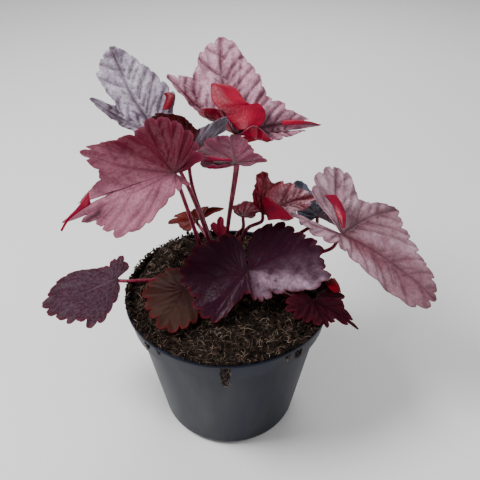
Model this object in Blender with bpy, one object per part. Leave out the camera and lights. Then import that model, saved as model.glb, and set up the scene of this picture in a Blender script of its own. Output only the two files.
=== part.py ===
# Coral bells (heuchera) growing in a round plastic nursery pot.
# Lengths in the tables are millimetres, angles are degrees, the model is in metres, +Z up.
# The origin is the centre of the pot's flat underside. The viewer's side is -Y.

import math

import bmesh
import bpy
from mathutils import Matrix, Vector

MM = 0.001

# Pot: thin wall, a flared band under the lip and a ledge below the band
RIM_RADIUS = 65.0
POT_HEIGHT = 99.0
BASE_RADIUS = 45.5
LEDGE_RADIUS = 58.7
LEDGE_HEIGHT = 83.2
LEDGE_RISE = 1.0
BAND_FLARE = 2.0
BASE_FILLET = 6.5
WALL = 1.2
LIP_HEIGHT = 2.6
LIP_OVERHANG = 1.0
LIP_WIDTH = 2.4
LIP_TOP_WIDTH = 1.6
LIP_BEVEL = 0.5
POT_SIDES = 48

# Drain slots cut through the corner of the base
DRAIN_COUNT = 4
DRAIN_FIRST_ANGLE = -73.0
DRAIN_WIDTH = 25.0
DRAIN_HEIGHT = 2.2
DRAIN_INNER_RADIUS = 37.0
DRAIN_CUT_PAST = 5.0

# Soil: fills the pot to just below the lip, highest at the crown
GAP = 0.3
SOIL_EDGE_HEIGHT = 95.6
SOIL_MOUND = 2.2
SOIL_RELIEF = 0.9
SOIL_TOP_RADIUS = 61.7
SOIL_RINGS = 9
SOIL_SIDES = 36
SOIL_SIDE_GAP = 0.5

# Humps of the soil: turns per millimetre along x and y, starting angle, share of the relief
SOIL_WAVES = (
    (0.31, -0.27, 2.67, 0.31),
    (0.31, 0.27, -1.27, 0.31),
    (0.53, -0.22, 1.9, 0.38),
    (0.19, 0.61, 0.3, 0.31),
)

# Stalks stand in plain holes in the soil round the crown
STALK_BASE_RADIUS = 1.5
STALK_TOP_RADIUS = 1.2
STALK_HOLE_CLEARANCE = 0.4
STALK_FOOT_HEIGHT = 89.0
STALK_BEND_HEIGHT = 101.0
STALK_LEAN_LIMIT = 3.5
STALK_TOP_STRAIGHT = 8.0
STALK_STEP = 12.0

# Blades: every point of the outline is a rounded tooth with a notch on each side
BLADE_THICKNESS = 0.7
BLADE_ROWS = 3
TOOTH_NOTCH = 1.8
TOOTH_ROUNDNESS = 2.4
TOOTH_STEPS = (-0.5, -0.25, 0.0, 0.25)
SLIM_NOTCH = 0.5
SLIM_TAPER = 0.6
END_STEP = 0.3
LIFT_POWER = 1.4
SWELL_FALL = 0.75
EDGE_WAVE = 2.0
EDGE_WAVE_TURN = 0.7

# Each leaf: where the stalk meets the blade, which way the blade runs (heading from +X),
# how it rises and rolls, and the teeth in order round the blade. A tooth is its angle from
# the heading, its length, its lift off the blade's plane and, where it is narrow, how slim.
# The stalk has its foot at the crown and the points that it passes on its way up.
LEAVES = {
    "high_left": {
        "junction": (-40, 42, 186), "heading": 121, "rise": 37, "roll": -29,
        "teeth": ((-62, 14, 3), (-48, 26, 4), (-33, 32, 3), (-21, 39, 3), (-14, 45, 2), (-7, 54, 1),
                  (-2, 62, 0), (3, 68, 0), (8, 67, 0), (13, 63, 0), (20, 57, 1), (23, 47, 2),
                  (29, 34, 3), (35, 50, 5), (40, 40, 4), (46, 27, 3), (58, 14, 2)),
        "puff": 0.4, "foot": (-8, 21), "by": ((-12, 20, 124), (-23, 28, 156)),
        "color": "#A48FA0",
    },
    "high_right": {
        "junction": (7, 48, 184), "heading": 95, "rise": 26, "roll": -2,
        "teeth": ((-126, 15, 16), (-124, 23, 8), (-108, 27, 3), (-97, 34, -1), (-86, 53, -3, 0.7),
                  (-75, 40, 3), (-61, 34, 6), (-46, 31, 6), (-36, 35, 6), (-27, 41, 6), (-17, 50, 7),
                  (-9, 59, 7), (-4, 67, 8), (3, 74, 8), (11, 70, 6), (18, 63, 5), (26, 53, 5),
                  (34, 53, 5), (42, 61, 6, 0.1), (47, 48, 6), (51, 36, 5), (59, 26, 7), (62, 22, 15),
                  (54, 13, 16)),
        "puff": 0.4, "foot": (0, 24), "by": ((0, 24, 127), (7, 38, 167)),
        "color": "#9C7286",
    },
    "broad_left": {
        "junction": (-29, -2, 186), "heading": 166, "rise": -2, "roll": -28,
        "teeth": ((-170, 19, 14), (-132, 18, 8), (-105, 24, 7), (-85, 29, 6), (-69, 35, 5),
                  (-55, 39, 5), (-42, 35, 4), (-29, 38, 4), (-19, 47, 3), (-13, 54, 1),
                  (-8, 59, 0, 0.1), (-2, 51, -1), (6, 44, -3), (14, 49, -5), (26, 70, -13, 0.7),
                  (35, 56, -8, 0.3), (42, 50, -6), (49, 49, -4), (60, 47, -5), (69, 38, -3),
                  (79, 31, -1), (88, 22, 1), (102, 16, 3), (120, 15, 4), (140, 16, 5)),
        "puff": 0.42, "foot": (-12, 19), "by": ((-18, 12, 128),),
        "color": "#7C3A50",
    },
    "middle": {
        "junction": (5, 9, 185), "heading": 97, "rise": 5, "roll": 2,
        "teeth": ((-121, 9, 2), (-91, 18, 1), (-69, 17, 1), (-43, 17, 2), (-23, 24, 2), (-9, 31, 2),
                  (10, 28, 1), (32, 27, 2), (59, 23, 3), (96, 23, 7), (122, 23, 8), (137, 16, 8)),
        "puff": 0.35, "foot": (-2, 18), "by": ((0, 15, 134),),
        "color": "#7D3F55",
    },
    "behind_left": {
        "junction": (-22, 40, 176), "heading": -109, "rise": 66, "roll": 11,
        "teeth": ((-31, 35, 1), (-23, 35, 3), (-14, 32, 5), (-6, 27, 6), (3, 23, 6), (13, 19, 6),
                  (24, 16, 5), (34, 20, 6), (43, 28, 8), (51, 31, 10), (60, 28, 12), (70, 23, 12),
                  (84, 15, 9)),
        "puff": 0.35, "foot": (-6, 27), "by": ((-11, 25, 120), (-21, 37, 149)),
        "color": "#5A1C26",
    },
    "broad_right": {
        "junction": (69, 0, 141), "heading": 69, "rise": 15, "roll": 21,
        "teeth": ((97, 34, 3), (106, 27, 2), (119, 20, 1), (144, 13, 0), (-164, 11, 0),
                  (-143, 16, -1), (-129, 29, -2), (-121, 43, -4), (-115, 57, -5), (-107, 66, -7),
                  (-100, 68, -5), (-94, 66, -4), (-87, 61, -4), (-80, 55, -3), (-70, 50, -2),
                  (-60, 46, -2), (-48, 46, -2), (-37, 50, -2), (-26, 40, 0), (-12, 31, 2),
                  (2, 33, 4), (12, 41, 7), (23, 45, 8), (33, 44, 8), (47, 39, 8), (62, 31, 9)),
        "puff": 0.42, "foot": (10, 20), "by": ((36, 20, 107), (62, 10, 121)),
        "color": "#A6899A",
    },
    "young_right": {
        "junction": (22, 17, 145), "heading": 61, "rise": 13, "roll": 13,
        "teeth": ((-72, 18, 0), (-52, 28, 1), (-38, 40, 1, 0.1), (-26, 32, 2), (-12, 30, 3),
                  (2, 27, 4), (14, 22, 5), (24, 28, 8), (34, 26, 9), (43, 18, 7), (58, 13, 7),
                  (76, 8, 6)),
        "puff": 0.35, "foot": (4, 19), "by": ((9, 18, 124), (13, 19, 133)),
        "color": "#A8334A",
    },
    "young_middle": {
        "junction": (10, 26, 137), "heading": 82, "rise": -12, "roll": -2,
        "teeth": ((-117, 8, 2), (-69, 12, 3), (-24, 18, 4), (-5, 17, 4), (12, 13, 4), (37, 14, 3),
                  (61, 7, 2)),
        "puff": 0.35, "foot": (5, 25), "by": ((6, 25, 122),),
        "color": "#6E1622",
    },
    "young_shoot": {
        "junction": (-5, 20, 125), "heading": 92, "rise": 30, "roll": -1,
        "teeth": ((-42, 6, 4, 0.4), (-6, 14, 2, 0.4), (30, 10, 4, 0.4)),
        "puff": 0.4, "foot": (-4, 22), "by": (),
        "color": "#B8204C",
    },
    "low_back": {
        "junction": (-21, 58, 113), "heading": 83, "rise": 6, "roll": 1,
        "teeth": ((-51, 21, 2, 0.4), (-8, 9, 3), (76, 14, 3), (103, 20, 0, 0.4),
                  (150, 14, 0)),
        "puff": 0.8, "foot": (-5, 32), "by": ((-11, 43, 103), (-17, 53, 107)), "under": 3,
        "color": "#6E2418",
    },
    "front": {
        "junction": (12, -12, 124), "heading": -97, "rise": -32, "roll": -4,
        "teeth": ((-161, 20, 0), (-152, 25, 0), (-141, 28, 0), (-122, 31, -1), (-109, 36, -1),
                  (-97, 38, -2), (-86, 41, -3), (-75, 41, -3), (-64, 37, -3), (-51, 39, -3),
                  (-39, 39, -3), (-28, 37, -4), (-21, 30, -3), (-11, 19, -2), (3, 14, -1),
                  (16, 18, -2), (28, 20, -2), (42, 21, -2), (60, 24, -2), (73, 32, -3), (81, 42, -4),
                  (92, 50, -4), (102, 47, -2), (112, 48, -1), (121, 46, -1), (131, 42, -1),
                  (141, 40, -2), (151, 39, -2), (163, 34, -2), (173, 28, -2), (-178, 20, -1)),
        "puff": 0.4, "foot": (6, 13), "by": (),
        "color": "#41263C",
    },
    "on_soil": {
        "junction": (-27, -7, 108), "heading": -113, "rise": -5, "roll": -2,
        "teeth": ((-145, 17, 0), (-121, 19, 0), (-96, 21, 0), (-73, 23, 0), (-52, 26, 0),
                  (-31, 28, 0), (-15, 31, 0), (1, 36, 0), (14, 36, 0), (26, 34, 0), (38, 30, 0),
                  (50, 23, 0)),
        "puff": 0.4, "foot": (-11, 13), "by": ((-20, 1, 103),), "under": 4,
        "color": "#5C4A48",
    },
    "far_left": {
        "junction": (-71, 6, 104), "heading": -173, "rise": -18, "roll": -9,
        "teeth": ((-139, 12, 1), (-110, 17, 2), (-85, 16, 2), (-58, 15, 1), (-41, 24, 1),
                  (-32, 37, 1), (-22, 43, 1), (-12, 48, 0), (-1, 52, 0), (12, 48, 0), (22, 43, 0),
                  (33, 40, 0), (43, 35, 0), (57, 37, 0), (69, 31, 0), (77, 25, 0), (86, 17, 0),
                  (98, 10, 0)),
        "puff": 0.35, "foot": (-16, 17), "by": ((-38, 9, 101), (-60, 6, 102)), "under": 2,
        "color": "#5B3448",
    },
    "low_right": {
        "junction": (51, -23, 109), "heading": -48, "rise": -16, "roll": -1,
        "teeth": ((-172, 12, 0), (-153, 14, 0), (-124, 17, 0), (-103, 20, 0), (-81, 19, 0),
                  (-63, 17, 0), (-41, 18, 0), (-23, 20, 0), (-4, 17, -1), (10, 23, -2, 0.2),
                  (20, 31, -3, 0.3), (34, 24, -2), (47, 19, -1), (65, 21, 0), (84, 21, 0),
                  (101, 23, 0)),
        "puff": 0.35, "foot": (11, 14), "by": ((31, -6, 102),), "under": 4,
        "color": "#4A2438",
    },
    "behind_right": {
        "junction": (57, 24, 138), "heading": 103, "rise": 6, "roll": -1,
        "teeth": ((-137, 17, 0), (-108, 16, 0), (-80, 9, 0), (-50, 11, 0), (-19, 16, 1), (-9, 26, 2),
                  (-3, 33, 2), (5, 36, 2), (13, 33, 2), (22, 24, 2), (60, 13, 1), (104, 13, 0)),
        "puff": 0.35, "foot": (10, 26), "by": ((34, 28, 112), (52, 26, 127)),
        "color": "#5C5A6C",
    },
}

STALK_COLOR = "#8C1538"
SOIL_COLOR = "#2A211C"
POT_COLOR = "#3A3F4C"


def clear_scene():
    for old in list(bpy.data.objects):
        bpy.data.objects.remove(old, do_unlink=True)


def linear(channel):
    if channel <= 0.04045:
        return channel / 12.92
    return ((channel + 0.055) / 1.055) ** 2.4


def material(name, color, roughness):
    made = bpy.data.materials.new(name)
    made.use_nodes = True
    shader = made.node_tree.nodes["Principled BSDF"]
    rgb = [linear(int(color[i:i + 2], 16) / 255) for i in (1, 3, 5)]
    shader.inputs["Base Color"].default_value = (*rgb, 1.0)
    shader.inputs["Roughness"].default_value = roughness
    shader.inputs["Metallic"].default_value = 0.0
    made.diffuse_color = (*rgb, 1.0)
    return made


def add_object(name, data, finish):
    made = bpy.data.objects.new(name, data)
    bpy.context.scene.collection.objects.link(made)
    data.materials.append(finish)
    return made


def mesh_from(bm, name, smooth_angle=40):
    mesh = bpy.data.meshes.new(name)
    bm.to_mesh(mesh)
    bm.free()
    mesh.shade_smooth()
    mesh.set_sharp_from_angle(angle=math.radians(smooth_angle))
    return mesh


def arc(center, radius, start, end, steps):
    points = []
    for i in range(steps + 1):
        turn = math.radians(start + (end - start) * i / steps)
        points.append((center[0] + radius * math.cos(turn), center[1] + radius * math.sin(turn)))
    return points


# Pot

def pot_wall_slope():
    return (LEDGE_RADIUS - BASE_RADIUS) / LEDGE_HEIGHT


def pot_inner_radius(z):
    return BASE_RADIUS - WALL * math.hypot(1, pot_wall_slope()) + pot_wall_slope() * z


def pot_lean():
    return math.degrees(math.atan(pot_wall_slope()))


def fillet_center():
    return (BASE_RADIUS - BASE_FILLET, BASE_FILLET)


def pot_inside():
    # From under the lip down to the middle of the floor
    inside = [
        (RIM_RADIUS - LIP_OVERHANG - BAND_FLARE - WALL, LEDGE_HEIGHT + LEDGE_RISE + WALL),
        (pot_inner_radius(LEDGE_HEIGHT + LEDGE_RISE), LEDGE_HEIGHT + LEDGE_RISE),
    ]
    inside += arc(fillet_center(), BASE_FILLET - WALL, -pot_lean(), -90, 3)
    return inside + [(0, WALL)]


def pot_profile():
    lip_bottom = POT_HEIGHT - LIP_HEIGHT
    outer = [(0, 0)]
    outer += arc(fillet_center(), BASE_FILLET, -90, -pot_lean(), 4)
    outer += [
        (LEDGE_RADIUS, LEDGE_HEIGHT),
        (RIM_RADIUS - LIP_OVERHANG - BAND_FLARE, LEDGE_HEIGHT + LEDGE_RISE),
        (RIM_RADIUS - LIP_OVERHANG, lip_bottom),
        (RIM_RADIUS, lip_bottom + LIP_BEVEL),
        (RIM_RADIUS, POT_HEIGHT - LIP_BEVEL),
        (RIM_RADIUS - LIP_BEVEL, POT_HEIGHT),
        (RIM_RADIUS - LIP_TOP_WIDTH, POT_HEIGHT),
    ]
    return outer + [(RIM_RADIUS - LIP_WIDTH, lip_bottom)] + pot_inside()


def turned_solid(name, profile, sides):
    bm = bmesh.new()
    verts = [bm.verts.new((r * MM, 0, z * MM)) for r, z in profile]
    edges = [bm.edges.new(pair) for pair in zip(verts[:-1], verts[1:])]
    bmesh.ops.spin(
        bm, geom=verts + edges, cent=(0, 0, 0), axis=(0, 0, 1),
        angle=math.tau, steps=sides, use_merge=True)
    bmesh.ops.remove_doubles(bm, verts=bm.verts, dist=0.00001)
    bmesh.ops.recalc_face_normals(bm, faces=bm.faces)
    return mesh_from(bm, name)


def cutter_object(name, bm):
    mesh = bpy.data.meshes.new(name)
    bm.to_mesh(mesh)
    bm.free()
    made = bpy.data.objects.new(name, mesh)
    bpy.context.scene.collection.objects.link(made)
    return made


def cut_away(target, cutter):
    cut = target.modifiers.new("Cut", "BOOLEAN")
    cut.operation = "DIFFERENCE"
    cut.solver = "EXACT"
    cut.object = cutter
    bpy.context.view_layer.objects.active = target
    bpy.ops.object.modifier_apply(modifier=cut.name)
    bpy.data.objects.remove(cutter, do_unlink=True)


def make_pot():
    pot = add_object("pot", turned_solid("pot", pot_profile(), POT_SIDES),
                     material("black plastic", POT_COLOR, 0.45))
    slots = bmesh.new()
    depth = BASE_RADIUS + DRAIN_CUT_PAST - DRAIN_INNER_RADIUS
    middle = DRAIN_INNER_RADIUS + depth / 2
    for i in range(DRAIN_COUNT):
        box = bmesh.ops.create_cube(slots, size=1)["verts"]
        bmesh.ops.scale(slots, verts=box,
                        vec=(depth * MM, DRAIN_WIDTH * MM, 2 * DRAIN_HEIGHT * MM))
        bmesh.ops.translate(slots, verts=box, vec=(middle * MM, 0, 0))
        turn = math.radians(DRAIN_FIRST_ANGLE + 360 * i / DRAIN_COUNT)
        bmesh.ops.rotate(slots, verts=box, cent=(0, 0, 0), matrix=Matrix.Rotation(turn, 3, "Z"))
    cut_away(pot, cutter_object("drain slots", slots))
    return pot


# Soil

def soil_height(x, y):
    share = math.hypot(x, y) / SOIL_TOP_RADIUS
    bumps = 0.0
    for along_x, along_y, start, weight in SOIL_WAVES:
        bumps += weight * math.sin(along_x * x + along_y * y + start)
    return SOIL_EDGE_HEIGHT + SOIL_MOUND * (1 - share * share) + SOIL_RELIEF * bumps


def make_soil():
    bm = bmesh.new()
    side = [(r - SOIL_SIDE_GAP, z + GAP) for r, z in reversed(pot_inside()[:-1])]
    rings = []
    for radius, z in side:
        rings.append([
            bm.verts.new((radius * math.cos(math.tau * k / SOIL_SIDES) * MM,
                          radius * math.sin(math.tau * k / SOIL_SIDES) * MM, z * MM))
            for k in range(SOIL_SIDES)])
    for ring in range(SOIL_RINGS, 0, -1):
        radius = SOIL_TOP_RADIUS * ring / SOIL_RINGS
        row = []
        for k in range(SOIL_SIDES):
            x = radius * math.cos(math.tau * k / SOIL_SIDES)
            y = radius * math.sin(math.tau * k / SOIL_SIDES)
            row.append(bm.verts.new((x * MM, y * MM, soil_height(x, y) * MM)))
        rings.append(row)
    for low, high in zip(rings[:-1], rings[1:]):
        for k in range(SOIL_SIDES):
            n = (k + 1) % SOIL_SIDES
            bm.faces.new((low[k], low[n], high[n], high[k]))
    top = bm.verts.new((0, 0, soil_height(0, 0) * MM))
    for k in range(SOIL_SIDES):
        bm.faces.new((rings[-1][k], rings[-1][(k + 1) % SOIL_SIDES], top))
    bm.faces.new(list(reversed(rings[0])))
    bmesh.ops.triangulate(bm, faces=bm.faces)
    soil = add_object("soil", mesh_from(bm, "soil"), material("peat soil", SOIL_COLOR, 0.95))
    holes = bmesh.new()
    for leaf in LEAVES.values():
        low, high = stalk_foot(leaf)
        along = (high - low).normalized()
        low = low - along * GAP
        drilled = bmesh.ops.create_cone(
            holes, cap_ends=True, segments=8,
            radius1=(STALK_BASE_RADIUS + STALK_HOLE_CLEARANCE) * MM,
            radius2=(STALK_BASE_RADIUS + STALK_HOLE_CLEARANCE) * MM,
            depth=(high - low).length * MM)["verts"]
        turn = Vector((0, 0, 1)).rotation_difference(along)
        for vert in drilled:
            vert.co.rotate(turn)
            vert.co += (low + high) / 2 * MM
    cut_away(soil, cutter_object("stalk holes", holes))
    return soil


# Stalks and blades

def blade_frame(leaf):
    heading, rise, roll = (math.radians(leaf[key]) for key in ("heading", "rise", "roll"))
    ahead = Vector((math.cos(heading) * math.cos(rise), math.sin(heading) * math.cos(rise),
                    math.sin(rise)))
    level = Vector((-math.sin(heading), math.cos(heading), 0))
    above = ahead.cross(level)
    side = level * math.cos(roll) + above * math.sin(roll)
    normal = above * math.cos(roll) - level * math.sin(roll)
    return ahead, side, normal


def through(points, t):
    # Smooth curve through the points, straight beyond both ends
    last = len(points) - 1
    i = max(0, min(last - 1, math.floor(t)))
    f = t - i
    b, c = points[i], points[i + 1]
    if f < 0 or f > 1:
        return b + (c - b) * f
    a = points[i - 1] if i > 0 else b * 2 - c
    d = points[i + 2] if i + 2 <= last else c * 2 - b
    return 0.5 * (b * 2 + (c - a) * f + (a * 2 - b * 5 + c * 4 - d) * f * f
                  + (b * 3 - a - c * 3 + d) * f * f * f)


def tooth_vectors(leaf):
    found = []
    for tooth in leaf["teeth"]:
        angle, length, lift = tooth[:3]
        turn = math.radians(angle)
        found.append(Vector((length * math.cos(turn), length * math.sin(turn), lift)))
    return found


def margin(leaf, index, u):
    # Share of the tooth's length that the blade reaches at u, from -0.5 to 0.5 across it
    teeth = leaf["teeth"]
    slim = teeth[index][3] if len(teeth[index]) > 3 else 0.0
    notch = TOOTH_NOTCH / teeth[index][1] + SLIM_NOTCH * slim
    outer_half = (index == 0 and u < 0) or (index == len(teeth) - 1 and u > 0)
    if outer_half:
        notch = 1.0
    return 1 - notch * (2 * abs(u)) ** (TOOTH_ROUNDNESS * (1 - SLIM_TAPER * slim))


def blade_points(leaf):
    ahead, side, normal = blade_frame(leaf)
    junction = Vector(leaf["junction"])
    vectors = tooth_vectors(leaf)
    last = len(vectors) - 1
    places = [(0, -END_STEP)] + [(0, u) for u in TOOTH_STEPS if u >= 0]
    places += [(i, u) for i in range(1, last) for u in TOOTH_STEPS]
    places += [(last, u) for u in TOOTH_STEPS if u <= 0] + [(last, END_STEP)]
    rows = []
    for step in range(1, BLADE_ROWS + 1):
        s = step / BLADE_ROWS
        row = []
        for index, u in places:
            t = index + u
            reach = s * margin(leaf, index, u)
            tip = through(vectors, t)
            swell = leaf["puff"] * abs(math.sin(math.pi * t)) * 4 * s * s * (1 - SWELL_FALL * s)
            wave = EDGE_WAVE * leaf["puff"] * s ** 3 * math.sin(EDGE_WAVE_TURN * math.pi * t)
            lift = tip.z * reach ** LIFT_POWER + swell + wave
            row.append(junction + ahead * tip.x * reach + side * tip.y * reach + normal * lift)
        rows.append(row)
    return junction, rows


def make_blade(name, leaf):
    junction, rows = blade_points(leaf)
    across = len(rows[0])
    points = [junction] + [point for row in rows for point in row]
    triangles = []
    for k in range(across - 1):
        triangles.append((0, 1 + k, 2 + k))
        for r in range(len(rows) - 1):
            a = 1 + r * across + k
            b = a + across
            triangles.append((a, b, b + 1))
            triangles.append((a, b + 1, a + 1))
    normals = [Vector((0, 0, 0)) for _ in points]
    for a, b, c in triangles:
        out = (points[b] - points[a]).cross(points[c] - points[a]).normalized()
        for corner in (a, b, c):
            normals[corner] += out
    bm = bmesh.new()
    top = [bm.verts.new(p * MM) for p in points]
    low = [bm.verts.new((p - n.normalized() * BLADE_THICKNESS) * MM)
           for p, n in zip(points, normals)]
    for a, b, c in triangles:
        bm.faces.new((top[a], top[b], top[c]))
        bm.faces.new((low[c], low[b], low[a]))
    first_side = [0] + [1 + r * across for r in range(len(rows))]
    tips = [1 + (len(rows) - 1) * across + k for k in range(1, across)]
    last_side = [1 + r * across + across - 1 for r in range(len(rows) - 2, -1, -1)]
    around = first_side + tips + last_side
    for a, b in zip(around, around[1:] + around[:1]):
        bm.faces.new((top[b], top[a], low[a]))
        bm.faces.new((top[b], low[a], low[b]))
    return add_object("blade_" + name, mesh_from(bm, "blade_" + name),
                      material("leaf " + name, leaf["color"], 0.5))


def stalk_foot(leaf):
    x, y = leaf["foot"]
    follow = Vector(leaf["by"][0] if leaf["by"] else stalk_top(leaf))
    rise = STALK_BEND_HEIGHT - STALK_FOOT_HEIGHT
    lean = Vector((follow.x - x, follow.y - y, 0)) * rise / max(1.0, follow.z - STALK_FOOT_HEIGHT)
    if lean.length > STALK_LEAN_LIMIT:
        lean = lean.normalized() * STALK_LEAN_LIMIT
    low = Vector((x, y, STALK_FOOT_HEIGHT))
    return low, low + lean + Vector((0, 0, rise))


def stalk_top(leaf):
    normal = blade_frame(leaf)[2]
    return Vector(leaf["junction"]) - normal * leaf.get("under", STALK_TOP_STRAIGHT)


def stalk_end(leaf):
    # Just under the blade, lower where its teeth fall away from the junction
    normal = blade_frame(leaf)[2]
    fall = 0.0
    for vector in tooth_vectors(leaf):
        fall = max(fall, -vector.z / math.hypot(vector.x, vector.y))
    drop = BLADE_THICKNESS + GAP + STALK_TOP_RADIUS * fall
    return Vector(leaf["junction"]) - normal * drop


def make_stalk(name, leaf):
    low, high = stalk_foot(leaf)
    stops = [low, high] + [Vector(p) for p in leaf["by"]] + [stalk_top(leaf), stalk_end(leaf)]
    path = [low, high]
    for i in range(1, len(stops) - 2):
        steps = max(2, round((stops[i + 1] - stops[i]).length / STALK_STEP))
        path += [through(stops, i + k / steps) for k in range(1, steps + 1)]
    path.append(stops[-1])
    curve = bpy.data.curves.new("stalk_" + name, "CURVE")
    curve.dimensions = "3D"
    curve.bevel_depth = MM
    curve.bevel_resolution = 2
    curve.use_fill_caps = True
    spline = curve.splines.new("POLY")
    spline.points.add(len(path) - 1)
    for i, point in enumerate(path):
        share = i / (len(path) - 1)
        spline.points[i].co = (*(point * MM), 1)
        spline.points[i].radius = STALK_BASE_RADIUS + (STALK_TOP_RADIUS - STALK_BASE_RADIUS) * share
    return add_object("stalk_" + name, curve, material("stalk " + name, STALK_COLOR, 0.4))


clear_scene()
make_pot()
make_soil()
for leaf_name, leaf_spec in LEAVES.items():
    make_stalk(leaf_name, leaf_spec)
    make_blade(leaf_name, leaf_spec)
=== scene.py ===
import math
import random

import bmesh
import bpy
import numpy as np
from mathutils import Matrix, Vector, noise


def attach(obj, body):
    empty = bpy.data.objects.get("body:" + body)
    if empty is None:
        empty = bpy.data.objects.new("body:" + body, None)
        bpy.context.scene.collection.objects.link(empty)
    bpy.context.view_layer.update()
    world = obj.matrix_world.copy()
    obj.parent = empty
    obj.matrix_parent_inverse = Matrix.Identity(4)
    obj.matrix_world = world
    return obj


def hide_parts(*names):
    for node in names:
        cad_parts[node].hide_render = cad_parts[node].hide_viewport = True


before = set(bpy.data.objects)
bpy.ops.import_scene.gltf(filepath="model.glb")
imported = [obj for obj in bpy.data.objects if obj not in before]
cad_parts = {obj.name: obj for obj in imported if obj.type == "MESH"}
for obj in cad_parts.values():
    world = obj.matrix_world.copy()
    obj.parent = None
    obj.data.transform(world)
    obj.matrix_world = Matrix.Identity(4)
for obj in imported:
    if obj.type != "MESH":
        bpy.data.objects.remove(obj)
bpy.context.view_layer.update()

mm = 0.001


def deselectAll():
    for piece in bpy.context.selected_objects:
        piece.select_set(False)


def makeActive(piece):
    deselectAll()
    piece.select_set(True)
    bpy.context.view_layer.objects.active = piece


def linearColor(hexColor):
    channels = [int(hexColor[i:i + 2], 16) / 255 for i in (1, 3, 5)]
    return [c / 12.92 if c <= 0.04045 else ((c + 0.055) / 1.055) ** 2.4 for c in channels] + [1.0]


# Materials. Pattern scales are 1000 over a size in millimetres, as the pieces are in metres.

colorMix = {"data_type": "RGBA"}
colorTimes = {"data_type": "RGBA", "blend_type": "MULTIPLY"}
product = {"operation": "MULTIPLY", "use_clamp": True}


def feed(material, socket, value):
    # A socket takes a number, a hex colour or another node's socket
    if isinstance(value, bpy.types.NodeSocket):
        material.node_tree.links.new(value, socket)
    elif isinstance(value, str):
        socket.default_value = linearColor(value)
    else:
        socket.default_value = value


def addNode(material, kind, settings=None, inputs=None):
    # One node with its settings and what each of its sockets takes
    node = material.node_tree.nodes.new(kind)
    for key, value in (settings or {}).items():
        setattr(node, key, value)
    for key, value in (inputs or {}).items():
        feed(material, node.inputs[key], value)
    return node


def newMaterial(name, inputs):
    made = bpy.data.materials.new(name)
    made.use_nodes = True
    shader = made.node_tree.nodes["Principled BSDF"]
    for key, value in inputs.items():
        feed(made, shader.inputs[key], value)
    return made, shader


leafSurface = {
    "netCell": 2.6, "netWidth": 0.14, "netDepth": 0.22, "netBelow": 0.3, "blotch": 8.0, "fleck": 1.5,
    "bump": 0.3, "fleckShare": 0.3, "roughnessSpread": 0.12, "mapSide": 100.0,
}
# The shade layer is painted shade and light; silverAndHighlight is silvering with painted highlight in it
leafLayers = ("vein", "silverAndHighlight", "rim", "shade")  # what each point of a blade says of itself


def leafMaterial(name, look, under):
    # Living leaf: a waxy skin over soft tissue, dark sunken veins, silvered between them, with painted
    # highlight in the silvering and painted shade from the shade layer
    made, shader = newMaterial(name, {"IOR": 1.42, "Specular IOR Level": look["gloss"]})
    vein, silverAndHighlight, rim, shade = (
        addNode(made, "ShaderNodeAttribute", {"attribute_name": layer}).outputs["Fac"]
        for layer in leafLayers)
    place = addNode(made, "ShaderNodeTexCoord").outputs["Object"]
    plane = addNode(made, "ShaderNodeUVMap", {"uv_map": "bladePlane"}).outputs["UV"]
    net = addNode(made, "ShaderNodeTexVoronoi", {"feature": "DISTANCE_TO_EDGE"}, {
        "Vector": plane, "Scale": leafSurface["mapSide"] / leafSurface["netCell"], "Randomness": 1.0})
    netLine = addNode(made, "ShaderNodeMapRange", None, {
        0: net.outputs["Distance"], 1: 0.0, 2: leafSurface["netWidth"], 3: 1.0, 4: 0.0}).outputs[0]
    blotch = addNode(made, "ShaderNodeTexNoise", None, {
        "Vector": place, "Scale": 1000 / leafSurface["blotch"], "Detail": 4.0,
        "Roughness": 0.6}).outputs["Fac"]
    fleck = addNode(made, "ShaderNodeTexNoise", None, {
        "Vector": place, "Scale": 1000 / leafSurface["fleck"], "Detail": 3.0}).outputs["Fac"]
    veinShare = addNode(made, "ShaderNodeMath", product, {0: vein, 1: look["veinShare"]}).outputs[0]
    netShown = look["netShare"] * (leafSurface["netBelow"] if under else 1)
    netShare = addNode(made, "ShaderNodeMath", product, {0: netLine, 1: netShown}).outputs[0]
    if under:
        base, dark = look["under"], look["underDark"]
        share = addNode(made, "ShaderNodeMapRange", None, {0: blotch, 1: 0.42, 2: 0.75}).outputs[0]
        coats = [(share, dark)]
        if look["silverBelow"]:
            coats.append((silverAndHighlight, look["silverAndHighlight"]))
    else:
        base, dark = look["face"], look["vein"]
        patchy = addNode(made, "ShaderNodeMapRange", None, {
            0: blotch, 1: 0.3, 2: 0.6, 3: look["patch"]}).outputs[0]
        veil = addNode(made, "ShaderNodeMath", product, {0: silverAndHighlight, 1: patchy}).outputs[0]
        share = addNode(made, "ShaderNodeMapRange", None, {
            0: fleck, 1: 0.42, 2: 0.66, 4: leafSurface["fleckShare"]}).outputs[0]
        edge = addNode(made, "ShaderNodeMath", product, {0: rim, 1: look["rimShare"]}).outputs[0]
        coats = [(veil, look["silverAndHighlight"]), (share, dark), (edge, look["rim"])]
    for share, coat in coats + [(netShare, dark), (veinShare, dark)]:
        base = addNode(made, "ShaderNodeMix", colorMix, {0: share, 6: base, 7: coat}).outputs[2]
    # Painted shade: the shade layer darkens the colour in the vein creases and near the stalk and lightens
    # it on the humps
    base = addNode(made, "ShaderNodeMix", colorTimes, {0: 1.0, 6: base, 7: shade}).outputs[2]
    feed(made, shader.inputs["Base Color"], base)
    low = look["roughness"] - leafSurface["roughnessSpread"] / 2
    rough = addNode(made, "ShaderNodeMapRange", None, {
        0: fleck, 1: 0.3, 2: 0.7, 3: low, 4: low + leafSurface["roughnessSpread"]}).outputs[0]
    feed(made, shader.inputs["Roughness"], rough)
    skin = addNode(made, "ShaderNodeMath", {"operation": "SUBTRACT"}, {0: fleck, 1: netLine}).outputs[0]
    bump = addNode(made, "ShaderNodeBump", None, {
        "Strength": leafSurface["bump"], "Distance": leafSurface["netDepth"] * mm, "Height": skin})
    feed(made, shader.inputs["Normal"], bump.outputs["Normal"])
    return made


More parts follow.
